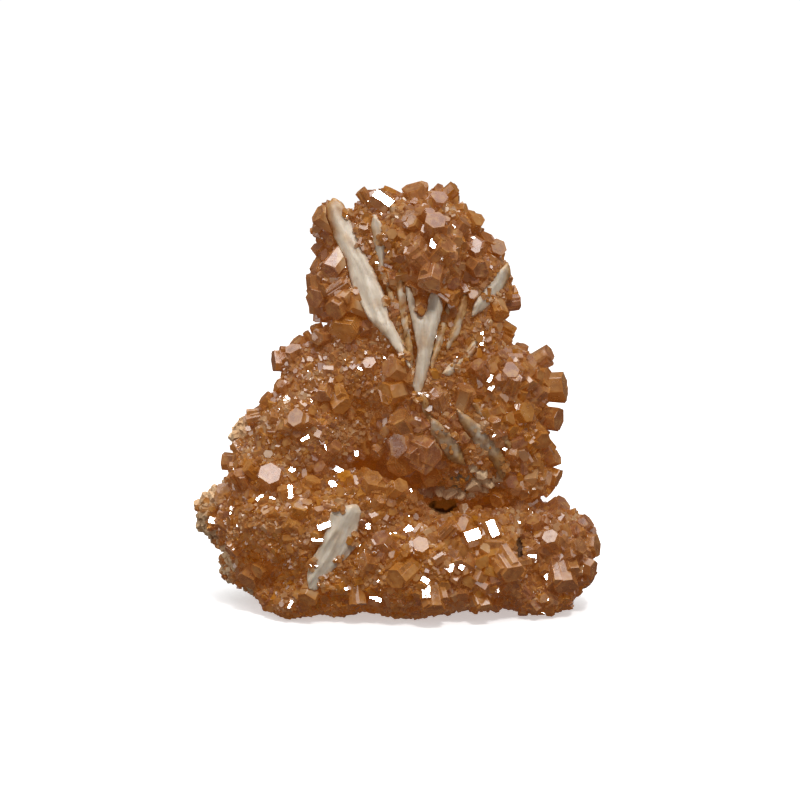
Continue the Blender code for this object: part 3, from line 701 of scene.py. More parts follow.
def plane_under(tree, lines):
    """The plane y = a + b x + c z that lies closest to where the lines meet the surface."""
    points = [meet(tree, *line)[0] for line in lines]
    table = np.array([(1.0, point.x, point.z) for point in points])
    depth, by_x, by_z = np.linalg.lstsq(table, np.array([point.y for point in points]), rcond=None)[0]
    middle = sum(points, Vector()) / len(points)
    by_x = max(-STEEPEST_LEAN, min(STEEPEST_LEAN, by_x))
    by_z = max(-STEEPEST_LEAN, min(STEEPEST_LEAN, by_z))
    return middle.y - by_x * middle.x - by_z * middle.z, by_x, by_z


def on_plane(plane, start, ray):
    """Where a line meets the plane."""
    depth, by_x, by_z = plane
    reach = (depth + by_x * start.x + by_z * start.z - start.y) / (ray.y - by_x * ray.x - by_z * ray.z)
    return start + ray * reach


def laid_on(plane, line_of, outline):
    """The corners of an outline, moved along their lines onto a plane."""
    return [on_plane(plane, *line_of(*point)) for point in outline]


def slab(points, way, out, into):
    """A plate with the given outline, from out before it to into behind it."""
    shape = bmesh.new()
    face = shape.faces.new([shape.verts.new(point + way * into) for point in points])
    raised = bmesh.ops.extrude_face_region(shape, geom=[face])
    corners = [part for part in raised["geom"] if isinstance(part, bmesh.types.BMVert)]
    bmesh.ops.translate(shape, verts=corners, vec=-way * (out + into))
    bmesh.ops.recalc_face_normals(shape, faces=shape.faces[:])
    bmesh.ops.triangulate(shape, faces=shape.faces[:])
    return mesh_of(shape, "slab")


# Materials


def blank(name):
    made = bpy.data.materials.new(name)
    made.use_nodes = True
    return made, made.node_tree, made.node_tree.nodes["Principled BSDF"]


def node(tree, kind, inputs=None, **settings):
    """A shader node with its settings made and its sockets set or linked."""
    made = tree.nodes.new(kind)
    for key, value in settings.items():
        setattr(made, key, value)
    for key, value in (inputs or {}).items():
        if isinstance(value, bpy.types.NodeSocket):
            tree.links.new(value, made.inputs[key])
        else:
            made.inputs[key].default_value = value
    return made


def mixed(tree, share, first, second):
    """The second colour over the first, by a share from 0 to 1."""
    first, second = (
        colour if isinstance(colour, bpy.types.NodeSocket) else (*colour, 1.0) for colour in (first, second)
    )
    inputs = {0: share, 6: first, 7: second}
    return node(tree, "ShaderNodeMix", inputs, data_type="RGBA", clamp_factor=True).outputs[2]


def ranged(tree, value, low, high, to_low=0.0, to_high=1.0):
    """A value moved from one range to another, and kept within it."""
    inputs = {"Value": value, "From Min": low, "From Max": high, "To Min": to_low, "To Max": to_high}
    return node(tree, "ShaderNodeMapRange", inputs).outputs[0]


def computed(tree, operation, first, second=0.0):
    return node(tree, "ShaderNodeMath", {0: first, 1: second}, operation=operation).outputs[0]


def cloud(tree, where, scale, detail=4.0, roughness=0.55):
    """Noise over the surface, from 0 to 1."""
    inputs = {"Vector": where, "Scale": scale, "Detail": detail, "Roughness": roughness}
    return node(tree, "ShaderNodeTexNoise", inputs).outputs["Fac"]


def bumped(tree, shader, height, strength, distance):
    bump = node(tree, "ShaderNodeBump", {"Height": height, "Strength": strength, "Distance": distance})
    tree.links.new(bump.outputs["Normal"], shader.inputs["Normal"])


def object_place(tree):
    return node(tree, "ShaderNodeTexCoord").outputs["Object"]


def own_values(tree):
    """The three values that a crystal or a corner of the surface has of its own."""
    own = node(tree, "ShaderNodeAttribute", attribute_name="own").outputs["Color"]
    return node(tree, "ShaderNodeSeparateColor", {"Color": own}).outputs[:3]


def placed(tree):
    """Where on its own crystal or blade a point is."""
    return node(tree, "ShaderNodeAttribute", attribute_name="place").outputs["Vector"]


def vanadinite_look():
    """Amber-brown, glossy and a little translucent, with a painted glow along the edges and ends of each
    crystal, a faint painted glow from within, and a painted mauve sheen on some crystals.
    """
    # The mauve colour is the crystals' amber-brown with a painted sheen of pale reflected light in it; each
    # crystal takes a share of it.
    mauve_sheen, amber, bright = (0.365, 0.155, 0.098), (0.600, 0.245, 0.016), (0.62, 0.33, 0.080)
    dark, dark_veil, speck = (0.190, 0.056, 0.008), (0.140, 0.040, 0.006), (0.11, 0.030, 0.006)
    pale_veil, painted_edge_glow, cream = (0.76, 0.46, 0.15), (0.72, 0.30, 0.035), (0.66, 0.47, 0.25)
    mauve_glow, amber_glow = (0.85, 0.26, 0.045), (1.0, 0.30, 0.015)
    made, tree, shader = blank("vanadinite_crystals")
    where = object_place(tree)
    shade, warmth, pale = own_values(tree)
    across_along = node(tree, "ShaderNodeSeparateXYZ", {"Vector": placed(tree)})
    across = computed(tree, "ABSOLUTE", across_along.outputs[0])
    along = across_along.outputs[1]
    big = cloud(tree, where, 260.0)
    veils = cloud(tree, where, 720.0, 3.0, 0.6)
    fine = cloud(tree, where, 1500.0, 5.0, 0.6)

    body = mixed(tree, warmth, mauve_sheen, amber)
    body = mixed(tree, ranged(tree, big, 0.42, 0.78, 0.0, 0.7), body, dark)
    body = mixed(tree, ranged(tree, shade, 0.0, 1.0, 0.0, 0.45), body, bright)
    body = mixed(tree, ranged(tree, veils, 0.50, 0.72, 0.0, 0.65), body, pale_veil)
    body = mixed(tree, ranged(tree, veils, 0.48, 0.30, 0.0, 0.60), body, dark_veil)
    # Painted glow and highlight: each crystal is made lighter and golden along its side edges and towards its
    # end, standing in for light shining through it and catching its edges.
    edge = computed(tree, "POWER", across, 5.0)
    tip = computed(tree, "POWER", along, 6.0)
    rim = computed(tree, "MAXIMUM", edge, computed(tree, "MULTIPLY", tip, 0.7))
    rim = computed(tree, "MULTIPLY", rim, ranged(tree, fine, 0.3, 0.7, 0.25, 1.0))
    body = mixed(tree, computed(tree, "MULTIPLY", rim, 0.70), body, painted_edge_glow)
    body = mixed(tree, pale, body, cream)
    body = mixed(tree, ranged(tree, fine, 0.55, 0.80, 0.0, 0.30), body, speck)
    # Painted glow: the crystals give off a faint light of their own, amber on amber crystals and mauve on
    # mauve ones, standing in for light that passes through them.
    tree.links.new(mixed(tree, warmth, mauve_glow, amber_glow), shader.inputs["Emission Color"])
    shader.inputs["Emission Strength"].default_value = 0.055
    tree.links.new(body, shader.inputs["Base Color"])
    frost = ranged(tree, fine, 0.44, 0.66, 0.02, 0.24)
    frost = computed(tree, "ADD", frost, computed(tree, "MULTIPLY", shade, 0.05))
    tree.links.new(frost, shader.inputs["Roughness"])
    shader.inputs["IOR"].default_value = 2.1
    shader.inputs["Transmission Weight"].default_value = 0.46
    bumped(tree, shader, computed(tree, "ADD", fine, veils), 0.16, 0.08 * MM)
    return made


def druse_look():
    """What shows between the crystals: a rough, fine-grained crust with cream places, painted shade in the
    darkest pits and a faint painted glow.
    """
    amber, yellow = (0.42, 0.150, 0.016), (0.58, 0.29, 0.060)
    brown, grain = (0.24, 0.070, 0.010), (0.52, 0.24, 0.060)
    grey_light, grey_dark = (0.30, 0.225, 0.15), (0.075, 0.052, 0.036)
    cream_light, cream_dark = (0.60, 0.47, 0.33), (0.30, 0.20, 0.12)
    shadow = (0.100, 0.038, 0.010)
    amber_glow, grey_glow, no_glow = (1.0, 0.30, 0.03), (0.25, 0.14, 0.07), (0.0, 0.0, 0.0)
    made, tree, shader = blank("vanadinite_druse")
    where = object_place(tree)
    grey, pale, deep = own_values(tree)
    big = cloud(tree, where, 200.0)
    fine = cloud(tree, where, 1300.0, 6.0, 0.65)
    cells = node(tree, "ShaderNodeTexVoronoi", {"Vector": where, "Scale": 1700.0})
    body = mixed(tree, ranged(tree, big, 0.35, 0.65), amber, yellow)
    body = mixed(tree, ranged(tree, fine, 0.50, 0.80), body, brown)
    body = mixed(tree, ranged(tree, cells.outputs["Color"], 0.2, 0.9, 0.0, 0.5), body, grain)
    body = mixed(tree, grey, body, mixed(tree, ranged(tree, fine, 0.35, 0.70), grey_light, grey_dark))
    body = mixed(tree, pale, body, mixed(tree, ranged(tree, fine, 0.35, 0.75), cream_light, cream_dark))
    # Painted shade: the ground turns dark in the pits, by the third value of its own.
    body = mixed(tree, deep, body, shadow)
    tree.links.new(body, shader.inputs["Base Color"])
    # Painted glow: the crust gives off a faint amber light of its own, greyer on the bare rock and none in
    # the painted shade of the pits.
    glow = mixed(tree, deep, mixed(tree, grey, amber_glow, grey_glow), no_glow)
    tree.links.new(glow, shader.inputs["Emission Color"])
    shader.inputs["Emission Strength"].default_value = 0.06
    tree.links.new(ranged(tree, fine, 0.3, 0.8, 0.45, 0.85), shader.inputs["Roughness"])
    shader.inputs["IOR"].default_value = 1.5
    height = computed(tree, "ADD", fine, computed(tree, "MULTIPLY", cells.outputs["Distance"], 1.2))
    bumped(tree, shader, height, 0.8, 0.30 * MM)
    return made


def barite_look():
    """Pale and cloudy, with streaks along the blade and a warm stain near its edges."""
    pale, dull = (0.69, 0.59, 0.465), (0.54, 0.435, 0.325)
    white, brown = (0.72, 0.62, 0.51), (0.30, 0.21, 0.14)
    coat_dark, coat_light, deep_stain = (0.34, 0.13, 0.022), (0.60, 0.36, 0.14), (0.24, 0.11, 0.03)
    made, tree, shader = blank("barite_blades")
    lengthwise = placed(tree)
    where = object_place(tree)
    stain, dark, _ = own_values(tree)
    stretched = node(tree, "ShaderNodeMapping", {"Vector": lengthwise, "Scale": (0.14, 1.0, 1.0)}).outputs[0]
    streaks = cloud(tree, stretched, 1900.0, 5.0, 0.6)
    mottle = cloud(tree, where, 700.0, 5.0, 0.6)
    body = mixed(tree, ranged(tree, streaks, 0.35, 0.68), pale, dull)
    body = mixed(tree, ranged(tree, mottle, 0.50, 0.72, 0.0, 0.6), body, white)
    body = mixed(tree, ranged(tree, mottle, 0.42, 0.25, 0.0, 0.5), body, brown)
    body = mixed(tree, stain, body, mixed(tree, ranged(tree, mottle, 0.35, 0.65), coat_dark, coat_light))
    body = mixed(tree, dark, body, deep_stain)
    tree.links.new(body, shader.inputs["Base Color"])
    tree.links.new(ranged(tree, mottle, 0.3, 0.7, 0.36, 0.62), shader.inputs["Roughness"])
    shader.inputs["IOR"].default_value = 1.64
    shader.inputs["Subsurface Weight"].default_value = 0.45
    shader.inputs["Subsurface Radius"].default_value = (1.0, 0.75, 0.5)
    shader.inputs["Subsurface Scale"].default_value = 0.8 * MM
    height = computed(tree, "ADD", streaks, computed(tree, "MULTIPLY", mottle, 0.5))
    bumped(tree, shader, height, 0.35, 0.18 * MM)
    return made


def rock_look():
    """Tan and grey-brown broken rock, matt and gritty."""
    sand, tan, brown, speck = (0.82, 0.57, 0.34), (0.54, 0.31, 0.14), (0.32, 0.16, 0.065), (0.80, 0.64, 0.46)
    made, tree, shader = blank("rock")
    where = object_place(tree)
    big = cloud(tree, where, 160.0, 5.0)
    fine = cloud(tree, where, 1500.0, 7.0, 0.7)
    specks = node(tree, "ShaderNodeTexVoronoi", {"Vector": where, "Scale": 1100.0}).outputs["Distance"]
    body = mixed(tree, ranged(tree, big, 0.40, 0.70), sand, tan)
    body = mixed(tree, ranged(tree, fine, 0.55, 0.76), body, brown)
    body = mixed(tree, ranged(tree, specks, 0.16, 0.05, 0.0, 0.6), body, speck)
    tree.links.new(body, shader.inputs["Base Color"])
    tree.links.new(ranged(tree, fine, 0.3, 0.7, 0.65, 0.95), shader.inputs["Roughness"])
    bumped(tree, shader, fine, 0.9, 0.35 * MM)
    return made


def floor_look():
    made, tree, shader = blank("floor")
    grain = cloud(tree, object_place(tree), 60.0)
    tree.links.new(mixed(tree, grain, (0.90, 0.90, 0.90), (0.93, 0.93, 0.93)), shader.inputs["Base Color"])
    shader.inputs["Roughness"].default_value = 0.9
    shader.inputs["Emission Color"].default_value = (1.0, 1.0, 1.0, 1.0)
    shader.inputs["Emission Strength"].default_value = 0.45
    return made


# Crystals


def hexagons(reaches):
    """Corners of six-sided outlines whose sides lie at the given distances, as an array of (n, 6, 2)."""
    turns = np.arange(6) * math.pi / 3.0
    normals = np.stack((np.cos(turns), np.sin(turns)), axis=1)
    tangents = np.stack((-np.sin(turns), np.cos(turns)), axis=1)
    after = np.roll(reaches, -1, axis=1)
    slide = (after - reaches * math.cos(math.pi / 3.0)) / math.sin(math.pi / 3.0)
    return reaches[:, :, None] * normals + slide[:, :, None] * tangents


def blunted(corners, share):
    """The same outlines with each corner cut off, as an array of (n, 12, 2)."""
    after = np.roll(corners, -1, axis=1)
    before = np.roll(corners, 1, axis=1)
    first = corners + (before - corners) * share
    second = corners + (after - corners) * share
    return np.stack((first, second), axis=2).reshape(len(corners), 12, 2)


def side_faces(levels, sides, blunt):
    """The faces between the rings of a prism, and how far across and along it their corners are."""
    here = np.arange(sides)
    there = (here + 1) % sides
    left = np.where(here % 2 == 0, 1.0, -1.0) if blunt else -np.ones(sides)
    faces, places = [], []
    for index, (low, high) in enumerate(((0.0, 1.0), (1.0, 1.0), (1.0, 0.6))[: levels - 1]):
        first, second = index * sides, (index + 1) * sides
        faces.append(np.stack((first + here, first + there, second + there, second + here), axis=1))
        place = np.zeros((sides, 4, 3))
        place[:, 0, 0] = place[:, 3, 0] = left
        place[:, 1:3, 0] = 1.0
        if index == 2:
            place[:, 0:2, 0] = 0.9
            place[:, 2:4, 0] = 0.3
        place[:, 0:2, 1] = low
        place[:, 2:4, 1] = high
        places.append(place)
    return np.concatenate(faces), np.concatenate(places).reshape(-1, 3)


class Crystals:
    """Many prisms, gathered to be made into one mesh."""

    def __init__(self):
        self.rows = []

    def put(self, base, axis, width, length, spin, own, regular=1.0, hopper=0.0):
        """Takes in one prism, lifted off the floor where it would reach it."""
        lift = SMALL_FLOOR - lowest_reach(base, axis, width, length)
        if lift > 0.0:
            base = base + Vector((0.0, 0.0, lift))
        turn = axis.to_track_quat("Z", "Y").to_matrix() @ Matrix.Rotation(spin, 3, "Z")
        self.rows.append((base, turn, width, length, own, regular, hopper))

    def mesh(self, name, seed, blunt):
        """All of them as one mesh. Each has a ring at its base, shoulder and rim, and a sunk or flat end."""
        chance = np.random.default_rng(seed)
        count = len(self.rows)
        columns = (np.array(column) for column in zip(*self.rows))
        bases, turns, widths, lengths, owns, regular, hoppers = columns
        uneven = chance.uniform(*UNEVEN, (count, 6)) * (1.0 - 0.35 * regular)[:, None]
        outline = hexagons(0.5 * (1.0 + uneven))
        if blunt:
            outline = blunted(outline, CORNER_CUT)
        sides = outline.shape[1]
        chamfer = chance.uniform(*CHAMFER, count)
        taper = 1.0 - chance.uniform(*TAPER, count) * (1.0 - regular)
        slope = chance.uniform(*END_SLOPE, (count, 2)) * (1.0 - 0.5 * regular)[:, None]
        inner = chance.uniform(*HOPPER_WIDTH, count)
        whole = lengths / widths
        rings = (
            (np.ones(count) * taper, np.zeros(count)),
            (np.ones(count), whole - chamfer),
            (1.0 - chamfer, whole),
            (inner, whole - hoppers),
        )[: 4 if blunt else 3]
        corners = np.zeros((count, len(rings), sides, 3))
        for index, (scale, height) in enumerate(rings):
            corners[:, index, :, :2] = outline * scale[:, None, None]
            corners[:, index, :, 2] = height[:, None]
            if index:
                corners[:, index, :, 2] += (corners[:, index, :, :2] * slope[:, None, :]).sum(axis=2)
        corners *= widths[:, None, None, None]
        world = np.einsum("nij,nrsj->nrsi", turns, corners) + bases[:, None, None, :]
        points = world.reshape(-1, 3)

        step = len(rings) * sides
        start = np.arange(count)[:, None] * step
        here = np.arange(sides)
        quads, quad_place = side_faces(len(rings), sides, blunt)
        all_quads = (start[:, :, None] + quads[None, :, :]).reshape(-1)
        bottoms = (start + here[::-1][None, :]).reshape(-1)
        tops = (start + (len(rings) - 1) * sides + here[None, :]).reshape(-1)
        loops = np.concatenate((all_quads, bottoms, tops)).astype(np.int32)
        sizes = np.concatenate(
            (np.full(count * len(quads), 4), np.full(count, sides), np.full(count, sides))
        ).astype(np.int32)
        starts = np.concatenate(([0], np.cumsum(sizes)[:-1])).astype(np.int32)

        mesh = bpy.data.meshes.new(name)
        mesh.vertices.add(len(points))
        mesh.vertices.foreach_set("co", points.astype(np.float32).reshape(-1))
        mesh.loops.add(len(loops))
        mesh.loops.foreach_set("vertex_index", loops)
        mesh.polygons.add(len(sizes))
        mesh.polygons.foreach_set("loop_start", starts)
        mesh.polygons.foreach_set("loop_total", sizes)
        mesh.update(calc_edges=True)
        mesh.validate()
        mesh.shade_flat()
        mesh.attributes.new("place", "FLOAT_VECTOR", "CORNER")
        mesh.attributes.new("own", "FLOAT_COLOR", "POINT")
        rim_place = np.zeros((count * sides, 3))
        top_place = np.tile((0.3, 0.6, 0.0), (count * sides, 1))
        values = np.concatenate((np.tile(quad_place, (count, 1)), rim_place, top_place))
        colours = np.repeat(np.concatenate((owns, np.ones((count, 1))), axis=1), step, axis=0)
        fill(mesh, "place", "vector", values)
        fill(mesh, "own", "color", colours)
        return mesh

    def piece(
        self, name, step, look, where, replaced="vanadinite_crust", slot_name="vanadinite", blunt=False,
    ):
        """All of them as a finished piece."""
        finished(add(self.mesh(name, SEED + step, blunt), name, where), look, replaced)


def warmth_at(point, chance):
    """How amber, rather than mauve with a painted sheen, the crystals are here."""
    slow = noise.noise(point / (9.0 * MM)) * 0.5 + 0.5
    low = clamped((22.0 * MM - point.z) / (16.0 * MM))
    # Painted sheen: the crystals are pulled towards mauve in the mauve places.
    mauve_sheen = 0.0
    for (x, z), reach in MAUVE_SHEEN_PLACES:
        away = math.hypot(point.x / MM - x, point.z / MM - z) / reach
        mauve_sheen = max(mauve_sheen, MOST_MAUVE_SHEEN * (1.0 - away))
    return clamped(0.55 * slow + 0.25 * low - mauve_sheen + chance.gauss(0.08, 0.30))


def coarseness(point):
    """From 0 in the fine-grained places to 1 in the coarse ones."""
    best = 0.0
    for (x, z), reach in COARSE_PLACES:
        away = math.hypot(point.x / MM - x, point.z / MM - z)
        best = max(best, 1.0 - away / reach)
    return min(1.0, best * 1.6)


def slanted(base, axis, width, length, chance):
    """A prism that points at the eye, tipped so that its sides show as well as its end."""
    facing = -axis.dot(SIGHT)
    if facing <= FACING_LIMIT:
        return base, axis
    beside = axis + SIGHT * facing
    if beside.length < 0.15:
        beside = PICTURE_UP * chance.uniform(0.3, 1.0) + PICTURE_RIGHT * chance.uniform(-1.0, 1.0)
    slant = chance.uniform(*SLANT)
    tipped = (beside.normalized() * math.sin(slant) - SIGHT * math.cos(slant)).normalized()
    middle = base + axis * (length - width * 0.45)
    return middle - tipped * (length - width * 0.45), tipped


def large_crystals(places):
    """The named prisms, each with smaller ones grown parallel to it."""
    chance = random.Random(SEED + 2)
    made = Crystals()
    for base, axis, width, length, spin in places:
        base, axis = slanted(base, axis, width, length, chance)
        base = base + axis * STOOD_OUT
        own = (chance.random(), warmth_at(base, chance), 0.0)
        made.put(base, axis, width, length, spin, own, 1.0, chance.choice(HOPPER_DEPTHS))
        across = axis.orthogonal().normalized()
        for _ in range(chance.choice(COMPANIONS)):
            turned = Matrix.Rotation(chance.uniform(0.0, math.tau), 3, axis)
            offset = turned @ across * width * chance.uniform(0.25, 0.50)
            share = chance.uniform(0.30, 0.70)
            lean = Vector(chance.gauss(0.0, PARALLEL_LEAN) for _ in range(3))
            reach = length - width * chance.uniform(-0.05, 0.50)
            made.put(base + offset, (axis + lean).normalized(), width * share, reach, spin, own, 0.6)
    return made


def flashing(place, turn):
    """Axis and spin of a prism at a place whose side mirrors the small soft box."""
    mirror = ((SMALL_BOX - place).normalized() + (EYE - place).normalized()).normalized()
    flat_x = (PICTURE_RIGHT - mirror * PICTURE_RIGHT.dot(mirror)).normalized()
    flat_y = flat_x.cross(mirror)
    if flat_y.z < 0.0:
        flat_y = -flat_y
    axis = (flat_x * math.cos(turn) + flat_y * math.sin(turn)).normalized()
    turned = axis.to_track_quat("Z", "Y")
    side_x, side_y = (turned @ Vector(way) for way in ((1.0, 0.0, 0.0), (0.0, 1.0, 0.0)))
    return axis, math.atan2(mirror.dot(side_y), mirror.dot(side_x))


def small_places(mesh, chance):
    """Where small prisms could stand, as width, point and normal, the widest first."""
    draws = np.random.default_rng(SEED + 4)
    mesh.calc_loop_triangles()
    count = len(mesh.loop_triangles)
    corners = np.zeros(count * 3, dtype=np.int32)
    mesh.loop_triangles.foreach_get("vertices", corners)
    coordinates = np.zeros(len(mesh.vertices) * 3)
    mesh.vertices.foreach_get("co", coordinates)
    triangles = coordinates.reshape(-1, 3)[corners.reshape(-1, 3)]
    crosses = np.cross(triangles[:, 1] - triangles[:, 0], triangles[:, 2] - triangles[:, 0])
    areas = np.linalg.norm(crosses, axis=1)
    chosen = draws.choice(count, size=SMALL_TRIES, p=areas / areas.sum())
    shares = draws.dirichlet((1.0, 1.0, 1.0), size=SMALL_TRIES)
    points = (triangles[chosen] * shares[:, :, None]).sum(axis=1)
    normals = crosses[chosen] / areas[chosen][:, None]
    wanted = []
    for place, normal in zip(points, normals):
        point = Vector(place)
        coarse = coarseness(point)
        if chance.random() < MEDIUM_SHARE[0] + (MEDIUM_SHARE[1] - MEDIUM_SHARE[0]) * coarse:
            width = chance.triangular(*MEDIUM_WIDTH, MEDIUM_WIDTH[0]) * (0.85 + 0.35 * coarse)
        else:
            width = chance.uniform(*FINE_WIDTH) * (0.9 + 0.5 * coarse)
        wanted.append((width * MM, point, Vector(normal)))
    return sorted(wanted, key=lambda row: -row[0])


def cells_near(point, reach):
    """The cells of space that a ball touches."""
    low = [int(math.floor((value - reach) / CELL)) for value in point]
    high = [int(math.floor((value + reach) / CELL)) for value in point]
    return itertools.product(*(range(first, last + 1) for first, last in zip(low, high)))


def small_crystals(mesh, taken, blade_trees, rock_tree):
    """Small prisms all over the ground, none too close to a wider one."""
    chance = random.Random(SEED + 3)
    cells = {}
    for point, width in taken:
        for key in cells_near(point, width * LARGE_CROWDING):
            cells.setdefault(key, []).append((point, width * LARGE_CROWDING, 0.0))
    found = []
    for width, point, normal in small_places(mesh, chance):
        near = cells.get(tuple(int(math.floor(value / CELL)) for value in point), ())
        own_reach = width * SMALL_CROWDING
        if any((point - other).length < reach + own_reach * counts for other, reach, counts in near):
            continue
        if inside(rock_tree, point + normal * width * 0.3, 0.0):
            continue
        if any(inside(tree, point, width * 0.45) for tree in blade_trees):
            continue
        if any(within(point, middle, reaches) < WELL_WITHIN for middle, reaches, _ in PITS[:2]):
            continue
        if within(point, *BARE) < WELL_WITHIN and chance.random() < LEFT_BARE:
            continue
        loose = any_way(chance)
        axis = normal.lerp(loose, chance.uniform(*SMALL_LEAN)).normalized()
        spin = chance.uniform(0.0, math.tau)
        if chance.random() < FLASHING:
            axis, spin = flashing(point, chance.uniform(0.0, math.tau))
        length = width * chance.uniform(*SMALL_STOUTNESS)
        base = point + normal * width * chance.uniform(-0.28, 0.04) - axis * length / 2.0
        if lowest_reach(base, axis, width, length) < SMALL_FLOOR:
            continue
        for key in cells_near(point, own_reach + MEDIUM_WIDTH[1] * MM * SMALL_CROWDING):
            cells.setdefault(key, []).append((point, own_reach, 1.0))
        found.append((base, axis, width, length, spin))
    return found


def glint_crystals(tree):
    """Prisms with a long side that mirrors the small soft box."""
    chance = random.Random(SEED + 8)
    made = Crystals()
    for right, down, width, length, angle in GLINTS:
        place, _ = meet(tree, *sight_line(right, down))
        axis, spin = flashing(place, math.radians(angle))
        whole = width * PIXEL * math.sqrt(3.0) * 0.85
        reach = length * PIXEL * 1.15
        centre = place - SIGHT * whole * 0.30
        own = (chance.uniform(0.3, 0.9), chance.uniform(0.0, 0.5), chance.uniform(0.0, 0.15))
        made.put(centre - axis * reach / 2.0, axis, whole, reach, spin, own)
    return made


def joined(objects, name):
    """Several objects as one, with their attributes kept."""
    with bpy.context.temp_override(
        active_object=objects[0],
        object=objects[0],
        selected_objects=objects,
        selected_editable_objects=objects,
    ):
        bpy.ops.object.join()
    objects[0].name = name
    objects[0].data.name = name
    return objects[0]


def crystals_beside_blades(rows, slot_group, where):
    """Prisms that reach in front of a blade, cut back to the blade's side."""
    cut = []
    for number, row in enumerate(rows):
        one = Crystals()
        one.rows.append(row)
        obj = add(one.mesh(f"cut_{number}", SEED + 50 + number, True), f"cut_{number}", where)
        step = obj.modifiers.new("cut", "BOOLEAN")
        step.operation = "DIFFERENCE"
        step.operand_type = "COLLECTION"
        step.collection = slot_group
        step.solver = "EXACT"
        mesh = evaluated(obj)
        if len(mesh.polygons) > 3:
            cut.append(add(mesh, f"cut_{number}", where))
    return joined(cut, "crystals_beside_blades")


def rock_grains(surface, ground_tree):
    """Grit and small broken faces all over the rock, and the crystals that grew among them."""
    chance = random.Random(SEED + 11)
    grit, grown = Crystals(), Crystals()
    for point, normal in strewn(surface, chance, GRAIN_TRIES):
        if point.z < ROOM_ABOVE_FLOOR or inside(ground_tree, point, 0.0):
            continue
        loose = any_way(chance)
        patch = noise.noise(point / (6.0 * MM)) + 0.6 * noise.noise(point / (2.5 * MM))
        near = ground_tree.find_nearest(point)[3] < 2.2 * MM
        if chance.random() < (0.30 if near else 0.0) + max(0.0, patch - 0.15) * 1.3:
            width = chance.uniform(0.5, 1.3) * MM
            axis = normal.lerp(loose, chance.uniform(0.2, 0.8)).normalized()
            own = (chance.random(), chance.uniform(0.2, 0.9), chance.choice((0.0, 0.0, 0.5)))
            spin = chance.uniform(0.0, math.tau)
            grown.put(point - axis * width * 0.4, axis, width, width * 1.3, spin, own, 0.2)
        else:
            width = chance.triangular(0.35, 1.9, 0.5) * MM
            axis = normal.lerp(loose, chance.uniform(0.5, 1.0)).normalized()
            length = width * chance.uniform(0.35, 0.70)
            spin = chance.uniform(0.0, math.tau)
            grit.put(point - axis * width * 0.42, axis, width, length, spin, (0.0, 0.0, 0.0), 0.0)
    return grit, grown


def crystals_on_blades(planes):
    """Small crystals that grew on the blades: over their edges and their lower ends."""
    chance = random.Random(SEED + 15)
    made = Crystals()
    for name, right, down, reach, count in ON_BLADES:
        plane, out = planes[name]
        for _ in range(count):
            turn, away = chance.uniform(0.0, math.tau), reach * math.sqrt(chance.random())
            start, ray = sight_line(right + away * math.cos(turn), down + away * math.sin(turn))
            width = chance.triangular(0.35, 1.3, 0.5) * MM
            point = on_plane(plane, start, ray) - ray * (out - width * 0.1)
            loose = any_way(chance)
            axis = (-SIGHT).lerp(loose, chance.uniform(0.3, 1.0)).normalized()
            length = width * chance.uniform(0.8, 1.5)
            own = (chance.random(), chance.uniform(0.3, 1.0), chance.choice((0.0, 0.0, 0.3, 0.7)))
            spin = chance.uniform(0.0, math.tau)
            made.put(point - axis * length / 2.0, axis, width, length, spin, own, 0.2)
    return made


def rock_bits(tree):
    """Broken bits of the rock in the hollow below the blades."""
    chance = random.Random(SEED + 12)
    shape = bmesh.new()
    for right, down, size in ROCK_BITS:
        place, _ = meet(tree, *sight_line(right, down))
        corners = [
            shape.verts.new(place + any_way(chance) * size / 2.0 * MM * chance.uniform(0.8, 1.1))
            for _ in range(ROCK_BIT_CORNERS)
        ]
        made = bmesh.ops.convex_hull(shape, input=corners)
        unused = [part for part in made["geom_interior"] if isinstance(part, bmesh.types.BMVert)]
        bmesh.ops.delete(shape, geom=unused, context="VERTS")
    bmesh.ops.bevel(
        shape, geom=shape.edges[:], offset=ROCK_BIT_BEVEL, segments=1, affect="EDGES", clamp_overlap=True,
    )
    return mesh_of(shape, "rock_in_hollow")


# Pieces


def finished(obj, look, replaced="vanadinite_crust"):
    """The object with its material, in the place of a solid that it rides with."""
    obj.data.materials.clear()
    obj.data.materials.append(look)
    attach(obj, "root")
    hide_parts(replaced)
    return obj


def finer(surface, name, where):
    """The surface with each face parted in four, as a shape to work on."""
    obj = add(surface.copy(), name, where)
    split = obj.modifiers.new("split", "SUBSURF")
    split.subdivision_type = "SIMPLE"
    split.levels = 1
    split.render_levels = 1
    return shape_of(evaluated(obj))


